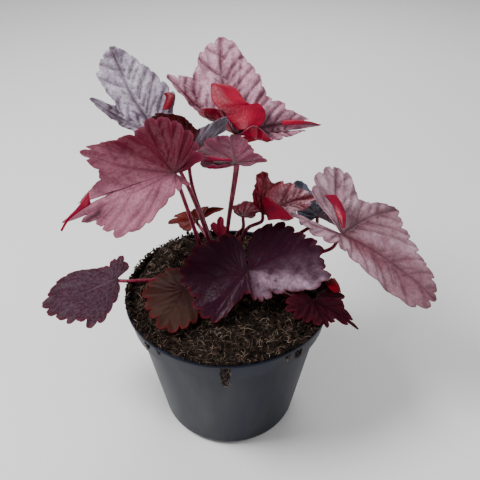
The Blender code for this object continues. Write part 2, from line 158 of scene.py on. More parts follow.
def stalkMaterial(name, color, dark, light):
    # Leaf stalk: wet-looking crimson skin, streaked along its length, with pale streaks of painted
    # highlight along it
    made, shader = newMaterial(name, {"Roughness": 0.36, "IOR": 1.42, "Specular IOR Level": 0.4})
    place = addNode(made, "ShaderNodeTexCoord").outputs["Object"]
    streak = addNode(made, "ShaderNodeMapping", None, {"Vector": place, "Scale": (1.0, 1.0, 0.12)})
    grain = addNode(made, "ShaderNodeTexNoise", None, {
        "Vector": streak.outputs["Vector"], "Scale": 1000 / 1.4, "Detail": 3.0}).outputs["Fac"]
    # Pale streaks are painted highlight
    pale = addNode(made, "ShaderNodeMapRange", None, {0: grain, 1: 0.5, 2: 0.72, 4: 0.7}).outputs[0]
    deep = addNode(made, "ShaderNodeMapRange", None, {0: grain, 1: 0.52, 2: 0.34}).outputs[0]
    base = addNode(made, "ShaderNodeMix", colorMix, {0: pale, 6: color, 7: light}).outputs[2]
    base = addNode(made, "ShaderNodeMix", colorMix, {0: deep, 6: base, 7: dark}).outputs[2]
    feed(made, shader.inputs["Base Color"], base)
    bump = addNode(made, "ShaderNodeBump", None, {"Strength": 0.4, "Distance": 0.12 * mm, "Height": grain})
    feed(made, shader.inputs["Normal"], bump.outputs["Normal"])
    return made


def soilMaterial(name, dark, mid, moss):
    # Damp peat and coir: almost black, matt, brown where it has dried and green where moss starts
    made, shader = newMaterial(name, {"Roughness": 0.95, "IOR": 1.4, "Specular IOR Level": 0.15})
    place = addNode(made, "ShaderNodeTexCoord").outputs["Object"]
    crumb = addNode(made, "ShaderNodeTexNoise", None, {
        "Vector": place, "Scale": 1000 / 2.2, "Detail": 5.0, "Roughness": 0.7}).outputs["Fac"]
    patch = addNode(made, "ShaderNodeTexNoise", None, {
        "Vector": place, "Scale": 1000 / 24, "Detail": 2.0}).outputs["Fac"]
    dry = addNode(made, "ShaderNodeMapRange", None, {0: crumb, 1: 0.48, 2: 0.7}).outputs[0]
    green = addNode(made, "ShaderNodeMapRange", None, {0: patch, 1: 0.54, 2: 0.68, 4: 0.6}).outputs[0]
    base = addNode(made, "ShaderNodeMix", colorMix, {0: dry, 6: dark, 7: mid}).outputs[2]
    base = addNode(made, "ShaderNodeMix", colorMix, {0: green, 6: base, 7: moss}).outputs[2]
    feed(made, shader.inputs["Base Color"], base)
    bump = addNode(made, "ShaderNodeBump", None, {"Strength": 1.0, "Distance": 0.9 * mm, "Height": crumb})
    feed(made, shader.inputs["Normal"], bump.outputs["Normal"])
    return made


def fibreMaterial(name, color, dark):
    # Coir fibre: brown and dull, darker where it is damp
    made, shader = newMaterial(name, {"Roughness": 0.85, "Specular IOR Level": 0.2})
    place = addNode(made, "ShaderNodeTexCoord").outputs["Object"]
    damp = addNode(made, "ShaderNodeTexNoise", None, {
        "Vector": place, "Scale": 1000 / 5, "Detail": 3.0}).outputs["Fac"]
    share = addNode(made, "ShaderNodeMapRange", None, {0: damp, 1: 0.4, 2: 0.6}).outputs[0]
    base = addNode(made, "ShaderNodeMix", colorMix, {0: share, 6: color, 7: dark}).outputs[2]
    feed(made, shader.inputs["Base Color"], base)
    return made


def potMaterial(name, color, dust):
    # Injection-moulded polypropylene, black with a grey bloom: smooth, faintly uneven, dusted with peat
    made, shader = newMaterial(name, {
        "IOR": 1.49, "Specular IOR Level": 0.2, "Specular Tint": "#B8C8FF"})
    place = addNode(made, "ShaderNodeTexCoord").outputs["Object"]
    flow = addNode(made, "ShaderNodeMapping", None, {"Vector": place, "Scale": (1.0, 1.0, 0.25)})
    haze = addNode(made, "ShaderNodeTexNoise", None, {
        "Vector": flow.outputs["Vector"], "Scale": 1000 / 26, "Detail": 4.0, "Roughness": 0.6})
    speck = addNode(made, "ShaderNodeTexNoise", None, {
        "Vector": place, "Scale": 1000 / 1.6, "Detail": 3.0, "Roughness": 0.7}).outputs["Fac"]
    bloom = addNode(made, "ShaderNodeMapRange", None, {
        0: haze.outputs["Fac"], 1: 0.45, 2: 0.75, 4: 0.22}).outputs[0]
    spots = addNode(made, "ShaderNodeMapRange", None, {0: speck, 1: 0.7, 2: 0.76, 4: 0.8}).outputs[0]
    base = addNode(made, "ShaderNodeMix", colorMix, {0: bloom, 6: color, 7: dust}).outputs[2]
    base = addNode(made, "ShaderNodeMix", colorMix, {0: spots, 6: base, 7: dust}).outputs[2]
    feed(made, shader.inputs["Base Color"], base)
    rough = addNode(made, "ShaderNodeMapRange", None, {
        0: haze.outputs["Fac"], 1: 0.3, 2: 0.7, 3: 0.36, 4: 0.5}).outputs[0]
    feed(made, shader.inputs["Roughness"], rough)
    bump = addNode(made, "ShaderNodeBump", None, {"Strength": 0.25, "Distance": 0.12 * mm, "Height": speck})
    feed(made, shader.inputs["Normal"], bump.outputs["Normal"])
    return made


def floorMaterial(name, color):
    # Matt painted board with a faint roller grain
    made, shader = newMaterial(name, {"Roughness": 0.8, "Specular IOR Level": 0.2, "Base Color": color})
    place = addNode(made, "ShaderNodeTexCoord").outputs["Object"]
    grain = addNode(made, "ShaderNodeTexNoise", None, {"Vector": place, "Scale": 1000 / 3, "Detail": 2.0})
    bump = addNode(made, "ShaderNodeBump", None, {
        "Strength": 0.05, "Distance": 0.1 * mm, "Height": grain.outputs["Fac"]})
    feed(made, shader.inputs["Normal"], bump.outputs["Normal"])
    return made


def newMesh(name, points, faces, kinds=None, smooth=True):
    # Points in millimetres, and which of its materials each face takes
    mesh = bpy.data.meshes.new(name)
    mesh.from_pydata((np.array(points) * mm).tolist(), [], faces)
    if kinds is not None:
        mesh.polygons.foreach_set("material_index", kinds)
    mesh.polygons.foreach_set("use_smooth", [smooth] * len(faces))
    mesh.update()
    return mesh


def newPiece(name, mesh, materials, nodeName=None):
    made = bpy.data.objects.new(name, mesh)
    bpy.context.scene.collection.objects.link(made)
    for material in materials:
        mesh.materials.append(material)
    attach(made, "root")
    if nodeName:
        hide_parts(nodeName)
    return made


# Camera: the photo's view, 36 degrees down on the plant

cameraView = {
    "place": (0.0, -304.0, 361.0), "down": 36.3, "toRight": 1.41, "focalPixels": 629.0,
    "photoPixels": 480.0, "sensor": 36.0, "clipStart": 0.01,
}


def makeCamera(view):
    data = bpy.data.cameras.new("photoCamera")
    data.sensor_width = view["sensor"]
    data.lens = view["focalPixels"] / view["photoPixels"] * view["sensor"]
    data.clip_start = view["clipStart"]
    made = bpy.data.objects.new("photoCamera", data)
    bpy.context.scene.collection.objects.link(made)
    made.location = Vector(view["place"]) * mm
    made.rotation_euler = (math.radians(90 - view["down"]), 0, -math.radians(view["toRight"]))
    bpy.context.scene.camera = made


makeCamera(cameraView)
print("camera placed")


# Pot: one turned shell with a flared band, a ledge under it and four drain slots

potShape = {
    "rimRadius": 65.0, "height": 99.0, "baseRadius": 45.5, "ledgeRadius": 58.7, "ledgeHeight": 83.2,
    "fillet": 6.5, "wall": 1.2, "lipHeight": 2.6, "sides": 144, "smoothAngle": 38,
    "slots": 4, "firstSlot": -73.0, "slotWidth": 25.0, "slotHeight": 2.2, "slotInner": 37.0,
    "slotPast": 5.0, "ledgeEdge": ((-0.05, -0.4), (0.3, 0.0)), "bandFoot": ((-3.3, 0.95), (-2.95, 1.4)),
    "bandTop": ((-1.05, -0.3), (-0.9, 0.0)), "bead": 0.6, "beadWidth": 1.8, "lipWidth": 2.4,
    "bandWidth": 4.2, "bandStep": 2.1, "color": "#04060F", "dust": "#1E2744",
}


def arcPoints(center, radius, start, end, steps):
    turns = [math.radians(start + (end - start) * i / steps) for i in range(steps + 1)]
    return [(center[0] + radius * math.cos(a), center[1] + radius * math.sin(a)) for a in turns]


def potOutline(pot):
    slope = (pot["ledgeRadius"] - pot["baseRadius"]) / pot["ledgeHeight"]
    lean = math.degrees(math.atan(slope))
    rim, ledge, lip = pot["rimRadius"], pot["ledgeHeight"], pot["height"] - pot["lipHeight"]
    center = (pot["baseRadius"] - pot["fillet"], pot["fillet"])

    def innerRadius(z):
        return pot["baseRadius"] - pot["wall"] * math.hypot(1, slope) + slope * z

    outer = [(0, 0)] + arcPoints(center, pot["fillet"], -90, -lean, 8)
    outer += [(pot["ledgeRadius"] + r, ledge + z) for r, z in pot["ledgeEdge"]]
    outer += [(rim + r, ledge + z) for r, z in pot["bandFoot"]]
    outer += [(rim + r, lip + z) for r, z in pot["bandTop"]]
    bead = pot["bead"]
    outer += arcPoints((rim - bead, lip + bead), bead, -90, 0, 3)
    outer += arcPoints((rim - bead, pot["height"] - bead), bead, 0, 90, 4)
    outer += arcPoints((rim - pot["beadWidth"], pot["height"] - bead), bead, 90, 180, 3)
    inner = [(rim - pot["lipWidth"], lip), (rim - pot["bandWidth"], ledge + pot["bandStep"]),
             (innerRadius(ledge + 1), ledge + 1)]
    inner += arcPoints(center, pot["fillet"] - pot["wall"], -lean, -90, 5)
    return outer + inner + [(0, pot["wall"])]


def cutSlot(piece, pot, turn):
    depth = pot["baseRadius"] + pot["slotPast"] - pot["slotInner"]
    away = (pot["slotInner"] + depth / 2) * mm
    deselectAll()
    bpy.ops.mesh.primitive_cube_add(
        size=1, rotation=(0, 0, turn), location=(away * math.cos(turn), away * math.sin(turn), 0))
    cutter = bpy.context.active_object
    cutter.scale = (depth * mm, pot["slotWidth"] * mm, 2 * pot["slotHeight"] * mm)
    makeActive(piece)
    cut = piece.modifiers.new("drainSlot", "BOOLEAN")
    cut.operation = "DIFFERENCE"
    cut.object = cutter
    bpy.ops.object.modifier_apply(modifier=cut.name)
    bpy.data.objects.remove(cutter, do_unlink=True)


def makePot(pot):
    deselectAll()
    bpy.ops.mesh.primitive_circle_add(vertices=3, radius=mm, location=(0, 0, 0))
    piece = bpy.context.active_object
    piece.name = "potShell"
    bm = bmesh.new()
    dots = [bm.verts.new((r * mm, 0, z * mm)) for r, z in potOutline(pot)]
    for first, second in zip(dots[:-1], dots[1:]):
        bm.edges.new((first, second))
    bm.to_mesh(piece.data)
    bm.free()
    makeActive(piece)
    bpy.ops.object.mode_set(mode="EDIT")
    bpy.ops.mesh.select_all(action="SELECT")
    bpy.ops.mesh.spin(steps=pot["sides"], angle=math.tau, center=(0, 0, 0), axis=(0, 0, 1))
    bpy.ops.mesh.select_all(action="SELECT")
    bpy.ops.mesh.remove_doubles(threshold=0.02 * mm)
    bpy.ops.mesh.normals_make_consistent(inside=False)
    bpy.ops.object.mode_set(mode="OBJECT")
    for i in range(pot["slots"]):
        cutSlot(piece, pot, math.radians(pot["firstSlot"] + 360 * i / pot["slots"]))
    makeActive(piece)
    bpy.ops.object.shade_smooth_by_angle(angle=math.radians(pot["smoothAngle"]))
    piece.data.materials.append(potMaterial("mouldedPolypropylene", pot["color"], pot["dust"]))
    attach(piece, "root")
    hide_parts("pot")


makePot(potShape)
print("pot made")


# Leaves. Each has its stalk's end on the blade, the way the blade runs, and its teeth in order:
# angle from the heading, length, lift off the blade's plane and, where narrow, how slim it is.
# silverAndHighlight says how silvered the blade is at a tooth, by its number, from 0 to 1, partly as
# painted highlight where a lobe turns towards the light, and puff how much the blade swells between
# its teeth. The stalk goes from foot in the soil by its points, and where under
# is given it ends that far below the blade. A flap is a part of the blade folded over, its red
# underside outwards, as two edges of angle, length and lift.

leafShapes = {
    "high_left": {
        "junction": (-40, 42, 186), "heading": 121, "rise": 37, "roll": -29,
        "teeth": ((-62, 14, 3), (-48, 26, 4), (-33, 32, 3), (-21, 39, 3), (-14, 45, 2), (-7, 54, 1),
            (-2, 62, 0), (3, 68, 0), (8, 67, 0), (13, 63, 0), (20, 57, 1), (23, 47, 2), (29, 34, 3),
            (35, 50, 5), (40, 40, 4), (46, 27, 3), (58, 14, 2)),
        "silverAndHighlight": ((0, 0.5), (4, 0.85), (8, 1.0), (16, 0.8)),
        "puff": 0.4, "foot": (-8, 21), "by": ((-12, 20, 124), (-23, 28, 156)),
        "flaps": ((((-33, 25, 5), (-38, 22, 5), (-34, 15, 4)), ((-43, 26, 7), (-52, 24, 7),
            (-52, 16, 5))),),
    },
    "high_right": {
        "junction": (7, 48, 184), "heading": 95, "rise": 26, "roll": -2,
        "teeth": ((-126, 15, 16), (-124, 23, 8), (-108, 27, 3), (-97, 34, -1), (-86, 53, -3, 0.7),
            (-75, 40, 3), (-61, 34, 6), (-46, 31, 6), (-36, 35, 6), (-27, 41, 6), (-17, 50, 7),
            (-9, 59, 7), (-4, 67, 8), (3, 74, 8), (11, 70, 6), (18, 63, 5), (26, 53, 5), (34, 53, 5),
            (42, 61, 6, 0.1), (47, 48, 6), (51, 36, 5), (59, 26, 7), (62, 22, 15), (54, 13, 16)),
        "silverAndHighlight": ((0, 0.5), (5, 0.8), (12, 0.95), (18, 0.9), (23, 0.5)),
        "puff": 0.4, "foot": (0, 24), "by": ((0, 24, 127), (7, 38, 167)),
        "flaps": ((((23, 35, 9), (31, 27, 7), (33, 16, 5), (29, 8, 4), (0, 1, 2)), ((19, 35, 9),
            (-2, 28, 10), (-26, 17, 10), (-43, 20, 10), (-62, 20, 9), (-81, 17, 7), (-102, 10, 4))),
            (((-83, 28, 5), (-83, 38, 4), (-85, 45, 2), (-87, 52, 0)), ((-90, 28, 5), (-89, 37, 4),
            (-87, 46, 2), (-88, 52, 0))), (((134, 11, 2), (165, 5, 2), (-119, 8, 2), (-99, 16, 2)),
            ((139, 10, -2), (-171, 7, -2), (-124, 10, -2), (-103, 19, -1)))),
    },
    "broad_left": {
        "junction": (-29, -2, 186), "heading": 166, "rise": -2, "roll": -28,
        "teeth": ((-170, 19, 14), (-132, 18, 8), (-105, 24, 7), (-85, 29, 6), (-69, 35, 5), (-55, 39, 5),
            (-42, 35, 4), (-29, 38, 4), (-19, 47, 3), (-13, 54, 1), (-8, 59, 0, 0.1), (-2, 51, -1),
            (6, 44, -3), (14, 49, -5), (26, 70, -13, 0.7), (35, 56, -8, 0.3), (42, 50, -6), (49, 49, -4),
            (60, 47, -5), (69, 38, -3), (79, 31, -1), (88, 22, 1), (102, 16, 3), (120, 15, 4),
            (140, 16, 5)),
        # The silvering on the lower lobes is painted light, where they turn towards the light
        "silverAndHighlight": ((0, 0.0), (8, 0.0), (9, 0.25), (11, 0.25), (12.5, 0.35), (14, 0.75), (16, 0.9),
            (21, 1.0), (24, 0.4)),
        "puff": 0.42, "foot": (-12, 19), "by": ((-18, 12, 128),),
        "flaps": ((((22, 48, 1), (26, 51, 1), (29, 57, -1), (31, 64, -4), (33, 70, -8)), ((32, 48, 2),
            (33, 51, 2), (32, 56, 0), (32, 63, -4), (34, 70, -8))),),
    },
    "middle": {
        "junction": (5, 9, 185), "heading": 97, "rise": 5, "roll": 2,
        "teeth": ((-121, 9, 2), (-91, 18, 1), (-69, 17, 1), (-43, 17, 2), (-23, 24, 2), (-9, 31, 2),
            (10, 28, 1), (32, 27, 2), (59, 23, 3), (96, 23, 7), (122, 23, 8), (137, 16, 8)),
        "silverAndHighlight": ((0, 0.3), (4, 0.45), (7, 0.3), (11, 0.6)),
        "puff": 0.35, "foot": (-2, 18), "by": ((0, 15, 134),),
        "flaps": ((((100, 22, 9), (96, 16, 7), (88, 9, 4), (50, 3, 2)), ((114, 20, 8), (112, 14, 6),
            (110, 8, 4), (80, 2, 1))),),
    },
    "behind_left": {
        "junction": (-22, 40, 176), "heading": -109, "rise": 66, "roll": 11,
        "teeth": ((-31, 35, 1), (-23, 35, 3), (-14, 32, 5), (-6, 27, 6), (3, 23, 6), (13, 19, 6),
            (24, 16, 5), (34, 20, 6), (43, 28, 8), (51, 31, 10), (60, 28, 12), (70, 23, 12), (84, 15, 9)),
        "silverAndHighlight": ((0, 0.0), (6, 0.0), (7, 0.8), (12, 1.0)),
        "puff": 0.35, "foot": (-6, 27), "by": ((-11, 25, 120), (-21, 37, 149)),
    },
    "broad_right": {
        "junction": (69, 0, 141), "heading": 69, "rise": 15, "roll": 21,
        "teeth": ((97, 34, 3), (106, 27, 2), (119, 20, 1), (144, 13, 0), (-164, 11, 0), (-143, 16, -1),
            (-129, 29, -2), (-121, 43, -4), (-115, 57, -5), (-107, 66, -7), (-100, 68, -5), (-94, 66, -4),
            (-87, 61, -4), (-80, 55, -3), (-70, 50, -2), (-60, 46, -2), (-48, 46, -2), (-37, 50, -2),
            (-26, 40, 0), (-12, 31, 2), (2, 33, 4), (12, 41, 7), (23, 45, 8), (33, 44, 8), (47, 39, 8),
            (62, 31, 9)),
        "silverAndHighlight": ((0, 0.9), (5, 0.85), (8, 0.5), (10, 0.3), (12, 0.45), (14, 0.8), (16, 0.6), (17, 0.5),
            (19, 0.9), (25, 1.0)),
        "puff": 0.42, "foot": (10, 20), "by": ((36, 20, 107), (62, 10, 121)),
        "flaps": ((((51, 25, 7), (46, 17, 6), (49, 10, 5), (75, 2, 4)), ((36, 22, 9), (28, 16, 8),
            (20, 8, 7), (50, 1, 5))),),
    },
    "young_right": {
        "junction": (22, 17, 145), "heading": 61, "rise": 13, "roll": 13,
        "teeth": ((-72, 18, 0), (-52, 28, 1), (-38, 40, 1, 0.1), (-26, 32, 2), (-12, 30, 3), (2, 27, 4),
            (14, 22, 5), (24, 28, 8), (34, 26, 9), (43, 18, 7), (58, 13, 7), (76, 8, 6)),
        "silverAndHighlight": ((0, 0.95), (3, 0.85), (5, 0.4), (7, 0.25), (11, 0.05)),
        "puff": 0.35, "foot": (4, 19), "by": ((9, 18, 124), (13, 19, 133)),
        "flaps": ((((31, 8, 6), (22, 1, 5), (-135, 8, 3)), ((-1, 8, 7), (-64, 12, 6), (-82, 19, 4))),),
    },
    "young_middle": {
        "junction": (10, 26, 137), "heading": 82, "rise": -12, "roll": -2,
        "teeth": ((-117, 8, 2), (-69, 12, 3), (-24, 18, 4), (-5, 17, 4), (12, 13, 4), (37, 14, 3),
            (61, 7, 2)),
        "silverAndHighlight": ((0, 0.2), (3, 0.5), (6, 0.2)),
        "puff": 0.35, "foot": (5, 25), "by": ((6, 25, 122),),
    },
    "young_shoot": {
        "junction": (-5, 20, 125), "heading": 92, "rise": 30, "roll": -1,
        "teeth": ((-42, 6, 4, 0.4), (-6, 14, 2, 0.4), (30, 10, 4, 0.4)),
        "silverAndHighlight": ((0, 0.2), (1, 0.4), (2, 0.2)),
        "puff": 0.4, "foot": (-4, 22), "by": (),
    },
    "low_back": {
        "junction": (-21, 58, 113), "heading": 83, "rise": 6, "roll": 1,
        "teeth": ((-51, 21, 2, 0.4), (-8, 9, 3), (76, 14, 3), (103, 20, 0, 0.4), (150, 14, 0)),
        "silverAndHighlight": ((0, 0.2), (4, 0.1)),
        "puff": 0.8, "foot": (-5, 32), "by": ((-11, 43, 103), (-17, 53, 107)), "under": 3,
    },
    "front": {
        "junction": (12, -12, 124), "heading": -97, "rise": -32, "roll": -4,
        "teeth": ((-161, 20, 0), (-152, 25, 0), (-141, 28, 0), (-122, 31, -1), (-109, 36, -1),
            (-97, 38, -2), (-86, 41, -3), (-75, 41, -3), (-64, 37, -3), (-51, 39, -3), (-39, 39, -3),
            (-28, 37, -4), (-21, 30, -3), (-11, 19, -2), (3, 14, -1), (16, 18, -2), (28, 20, -2),
            (42, 21, -2), (60, 24, -2), (73, 32, -3), (81, 42, -4), (92, 50, -4), (102, 47, -2),
            (112, 48, -1), (121, 46, -1), (131, 42, -1), (141, 40, -2), (151, 39, -2), (163, 34, -2),
            (173, 28, -2), (-178, 20, -1)),
        # The pale streak on the lower right lobes is a painted highlight
        "silverAndHighlight": ((0, 0.0), (15, 0.0), (17, 0.5), (19, 0.75), (20, 0.85), (21, 0.35), (22, 0.12),
            (24, 0.0), (30, 0.0)),
        "puff": 0.4, "foot": (6, 13), "by": (),
    },
    "on_soil": {
        "junction": (-27, -7, 108), "heading": -113, "rise": -5, "roll": -2,
        "teeth": ((-145, 17, 0), (-121, 19, 0), (-96, 21, 0), (-73, 23, 0), (-52, 26, 0), (-31, 28, 0),
            (-15, 31, 0), (1, 36, 0), (14, 36, 0), (26, 34, 0), (38, 30, 0), (50, 23, 0)),
        "silverAndHighlight": ((0, 0.7), (4, 0.5), (6, 0.8), (11, 0.9)),
        "puff": 0.4, "foot": (-11, 13), "by": ((-20, 1, 103),), "under": 4,
    },
    "far_left": {
        "junction": (-71, 6, 104), "heading": -173, "rise": -18, "roll": -9,
        "teeth": ((-139, 12, 1), (-110, 17, 2), (-85, 16, 2), (-58, 15, 1), (-41, 24, 1), (-32, 37, 1),
            (-22, 43, 1), (-12, 48, 0), (-1, 52, 0), (12, 48, 0), (22, 43, 0), (33, 40, 0), (43, 35, 0),
            (57, 37, 0), (69, 31, 0), (77, 25, 0), (86, 17, 0), (98, 10, 0)),
        "silverAndHighlight": ((0, 0.5), (5, 0.7), (8, 0.8), (12, 0.4), (17, 0.3)),
        "puff": 0.35, "foot": (-16, 17), "by": ((-38, 9, 101), (-60, 6, 102)), "under": 2,
    },
    "low_right": {
        "junction": (51, -23, 109), "heading": -48, "rise": -16, "roll": -1,
        "teeth": ((-172, 12, 0), (-153, 14, 0), (-124, 17, 0), (-103, 20, 0), (-81, 19, 0), (-63, 17, 0),
            (-41, 18, 0), (-23, 20, 0), (-4, 17, -1), (10, 23, -2, 0.2), (20, 31, -3, 0.3), (34, 24, -2),
            (47, 19, -1), (65, 21, 0), (84, 21, 0), (101, 23, 0)),
        "silverAndHighlight": ((0, 0.3), (8, 0.2), (11, 0.3), (15, 0.5)),
        "puff": 0.35, "foot": (11, 14), "by": ((31, -6, 102),), "under": 4,
        "flaps": ((((107, 14, 3), (88, 12, 3), (72, 14, 2)), ((98, 22, 3), (84, 20, 3), (71, 19, 1))),),
    },
    "behind_right": {
        "junction": (57, 24, 138), "heading": 103, "rise": 6, "roll": -1,
        "teeth": ((-137, 17, 0), (-108, 16, 0), (-80, 9, 0), (-50, 11, 0), (-19, 16, 1), (-9, 26, 2),
            (-3, 33, 2), (5, 36, 2), (13, 33, 2), (22, 24, 2), (60, 13, 1), (104, 13, 0)),
        # The blue-grey silvering here is a painted reflection
        "silverAndHighlight": ((0, 0.0), (3, 0.1), (4, 0.7), (6, 1.0), (11, 0.9)),
        "puff": 0.35, "foot": (10, 26), "by": ((34, 28, 112), (52, 26, 127)),
    },
}

# Each leaf's look: its colour between the veins, where it is silvered (partly painted highlight), on its
# veins, at its edge, underneath and in the darker parts there, then how strongly its veins and its fine
# net show, and what it has unlike the common look. The undersides are the leaf's own crimson, kept
# bright to paint light shining through the thin blade. crinkle says how strongly it is quilted between
# its veins, and patch how evenly it is silvered.

lookParts = ("face", "silverAndHighlight", "vein", "rim", "under", "underDark", "veinShare", "netShare")
commonLook = {
    "roughness": 0.42, "gloss": 0.25, "rimShare": 0.45, "crinkle": 0.5, "patch": 0.7,
    "silverBelow": False,
}
leafLooks = {
    "high_left": ("#4E3048", "#DACCE0", "#2E1224", "#644A62", "#860020", "#500614", 0.6, 0.25,
                  {"crinkle": 0.9, "patch": 0.35}),
    "high_right": ("#742240", "#E4B0C6", "#42081E", "#8A4058", "#A60030", "#740020", 0.6, 0.2,
                   {"crinkle": 1.0, "patch": 0.35}),
    "broad_left": ("#581026", "#B4748A", "#380818", "#7C3248", "#900028", "#600024", 0.35, 0.04,
                   {"crinkle": 0.35, "patch": 0.85, "gloss": 0.12, "roughness": 0.5}),
    "middle": ("#500E26", "#94506A", "#3C1020", "#8C3C54", "#98003A", "#640028", 0.4, 0.06,
               {"crinkle": 0.4, "patch": 0.7}),
    "behind_left": ("#7E6E86", "#8A8494", "#4A2434", "#6A4A5C", "#5A0610", "#34040C", 0.5, 0.3,
                    {"silverBelow": True}),
    "broad_right": ("#6C2A3A", "#D0AABA", "#521E2E", "#643040", "#9C0030", "#680028", 0.5, 0.12,
                    {"crinkle": 0.6, "patch": 0.45, "gloss": 0.35, "roughness": 0.36}),
    "young_right": ("#B40030", "#FFD4E4", "#600420", "#700E24", "#AA0030", "#70002A", 0.6, 0.5,
                    {"crinkle": 1.2, "patch": 0.2}),
    "young_middle": ("#74082A", "#B04060", "#3A0410", "#4A0612", "#7A0818", "#4C0610", 0.6, 0.4, {}),
    "young_shoot": ("#A80C38", "#D85880", "#780828", "#8C0A32", "#A80C38", "#780828", 0.4, 0.3, {}),
    "low_back": ("#620C0C", "#8A3020", "#340808", "#3E0A0A", "#6C0E0C", "#400808", 0.6, 0.3, {}),
    # front: its pale silvering colour paints its highlight streak
    "front": ("#2E0A22", "#D8B4CC", "#4C0418", "#600418", "#4A0614", "#2C0410", 0.3, 0.08,
              {"roughness": 0.4, "gloss": 0.22, "crinkle": 0.3, "patch": 0.1, "rimShare": 0.7}),
    "on_soil": ("#3C0B0C", "#3A2E26", "#4A2420", "#5C0612", "#4A0614", "#2C0410", 0.3, 0.1,
                {"rimShare": 0.85, "crinkle": 0.35, "gloss": 0.12}),
    "far_left": ("#30081C", "#40202F", "#685864", "#60061E", "#4A0614", "#2C0410", 0.22, 0.08,
                 {"rimShare": 0.7, "crinkle": 0.3, "gloss": 0.12}),
    "low_right": ("#2A010C", "#54182C", "#20040C", "#5A0416", "#8A0018", "#4C0610", 0.5, 0.1,
                  {"crinkle": 0.6, "gloss": 0.12}),
    # behind_right: its blue-grey silvering and rim colours are a painted reflection over its maroon
    "behind_right": ("#3C0E20", "#627086", "#343448", "#505C7A", "#5A081C", "#3C0612", 0.45, 0.2, {}),
}


def leafLook(name):
    *row, own = leafLooks[name]
    return {**commonLook, **dict(zip(lookParts, row)), **own}


bladeDetail = {
    "thickness": 0.5, "ribThickness": 0.4, "columnStep": 0.85, "fewestColumns": 8, "rowStep": 0.95,
    "fewestRows": 14, "rowPower": 0.93, "endStep": 0.3, "liftPower": 1.4,
    "sideNotch": 0.3, "notchShare": 0.5, "notchLeast": 1.4, "notchMost": 4.6, "roundness": 3.2,
    "slimNotch": 0.5, "slimTaper": 0.6, "toothReach": 0.5, "shortestReach": 6.0,
    "scallopWidth": 3.4, "scallopDepth": 0.55, "curl": 0.9, "curlPower": 8,
    "swellFall": 0.75, "smoothSwell": 0.25, "edgeWave": 2.0, "edgeWaveTurn": 0.7,
    "pillowWidth": 3.0, "quilt": 1.1, "groove": 0.8, "rimWidth": 2.6, "rimRelief": 0.4,
    "heart": 7.0, "ruffle": 2.0, "smoothRuffle": 0.4, "ruffleSize": 12.0, "ruffleFrom": 1.6,
    # humpHighlight paints highlight on the raised humps; veinShade, humpShade, heartShade and darkest set
    # the painted shade in creases, on humps and near the stalk
    "silverStart": 0.3, "silverRise": 1.4, "veinSilver": 0.55, "humpHighlight": 0.5,
    "veinShade": 0.35, "humpShade": 0.25, "heartShade": 0.3, "darkest": 0.2,
}

veinDetail = {
    "ribWidth": 0.62, "sideWidth": 0.4, "ribEnd": 0.98, "sideEnd": 0.97, "sideStart": (0.08, 0.9),
    "sideSlant": 1.15, "sideStrength": 0.6, "innerStep": 6.5, "innerGap": (0.7, 1.3),
    "innerUntil": 0.55, "innerLength": (1.5, 0.4, 9.0), "innerSpread": (0.7, 1.2),
    "innerShift": 1.5, "innerLean": (0.7, 1.1), "innerStrength": (0.15, 0.4),
    "bend": 0.05, "taper": 0.65, "fadeOut": 0.5, "weakApart": 1.2, "farthest": 9.0,
}

# A flap's shade is painted shade and light: its overall level, and how much lighter its humps and bulge are
flapDetail = {
    "columns": 40, "rows": 26, "bulge": 1.2, "fullWidth": 8.0, "thickness": 0.5, "ruffle": 0.8,
    "ruffleSize": 9.0, "streaks": 5, "streakStrength": 0.5, "shade": (0.85, 0.3, 0.15), "darkest": 0.2,
}


def bladeFrame(leaf):
    heading, rise, roll = (math.radians(leaf[key]) for key in ("heading", "rise", "roll"))
    ahead = np.array([math.cos(heading) * math.cos(rise), math.sin(heading) * math.cos(rise),
                      math.sin(rise)])
    level = np.array([-math.sin(heading), math.cos(heading), 0.0])
    above = np.cross(ahead, level)
    side = level * math.cos(roll) + above * math.sin(roll)
    normal = above * math.cos(roll) - level * math.sin(roll)
    return ahead, side, normal


def bladePlace(leaf, local):
    # From the blade's own directions to the place in the plant
    ahead, side, normal = bladeFrame(leaf)
    return (np.array(leaf["junction"], float) + local[..., :1] * ahead
            + local[..., 1:2] * side + local[..., 2:] * normal)


def smoothThrough(points, places):
    # Smooth curve through the points at each place, straight beyond both ends
    points = np.asarray(points, float)
    last = len(points) - 1
    start = np.clip(np.floor(places).astype(int), 0, last - 1)
    f = (places - start)[:, None]
    padded = np.vstack([2 * points[:1] - points[1:2], points, 2 * points[-1:] - points[-2:-1]])
    a, b, c, d = (padded[start + k] for k in range(4))
    curved = 0.5 * (2 * b + (c - a) * f + (2 * a - 5 * b + 4 * c - d) * f ** 2
                    + (3 * b - a - 3 * c + d) * f ** 3)
    return np.where((f < 0) | (f > 1), b + (c - b) * f, curved)


def toothVectors(teeth):
    found = []
    for tooth in teeth:
        turn = math.radians(tooth[0])
        found.append((tooth[1] * math.cos(turn), tooth[1] * math.sin(turn), tooth[2]))
    return np.array(found, float)


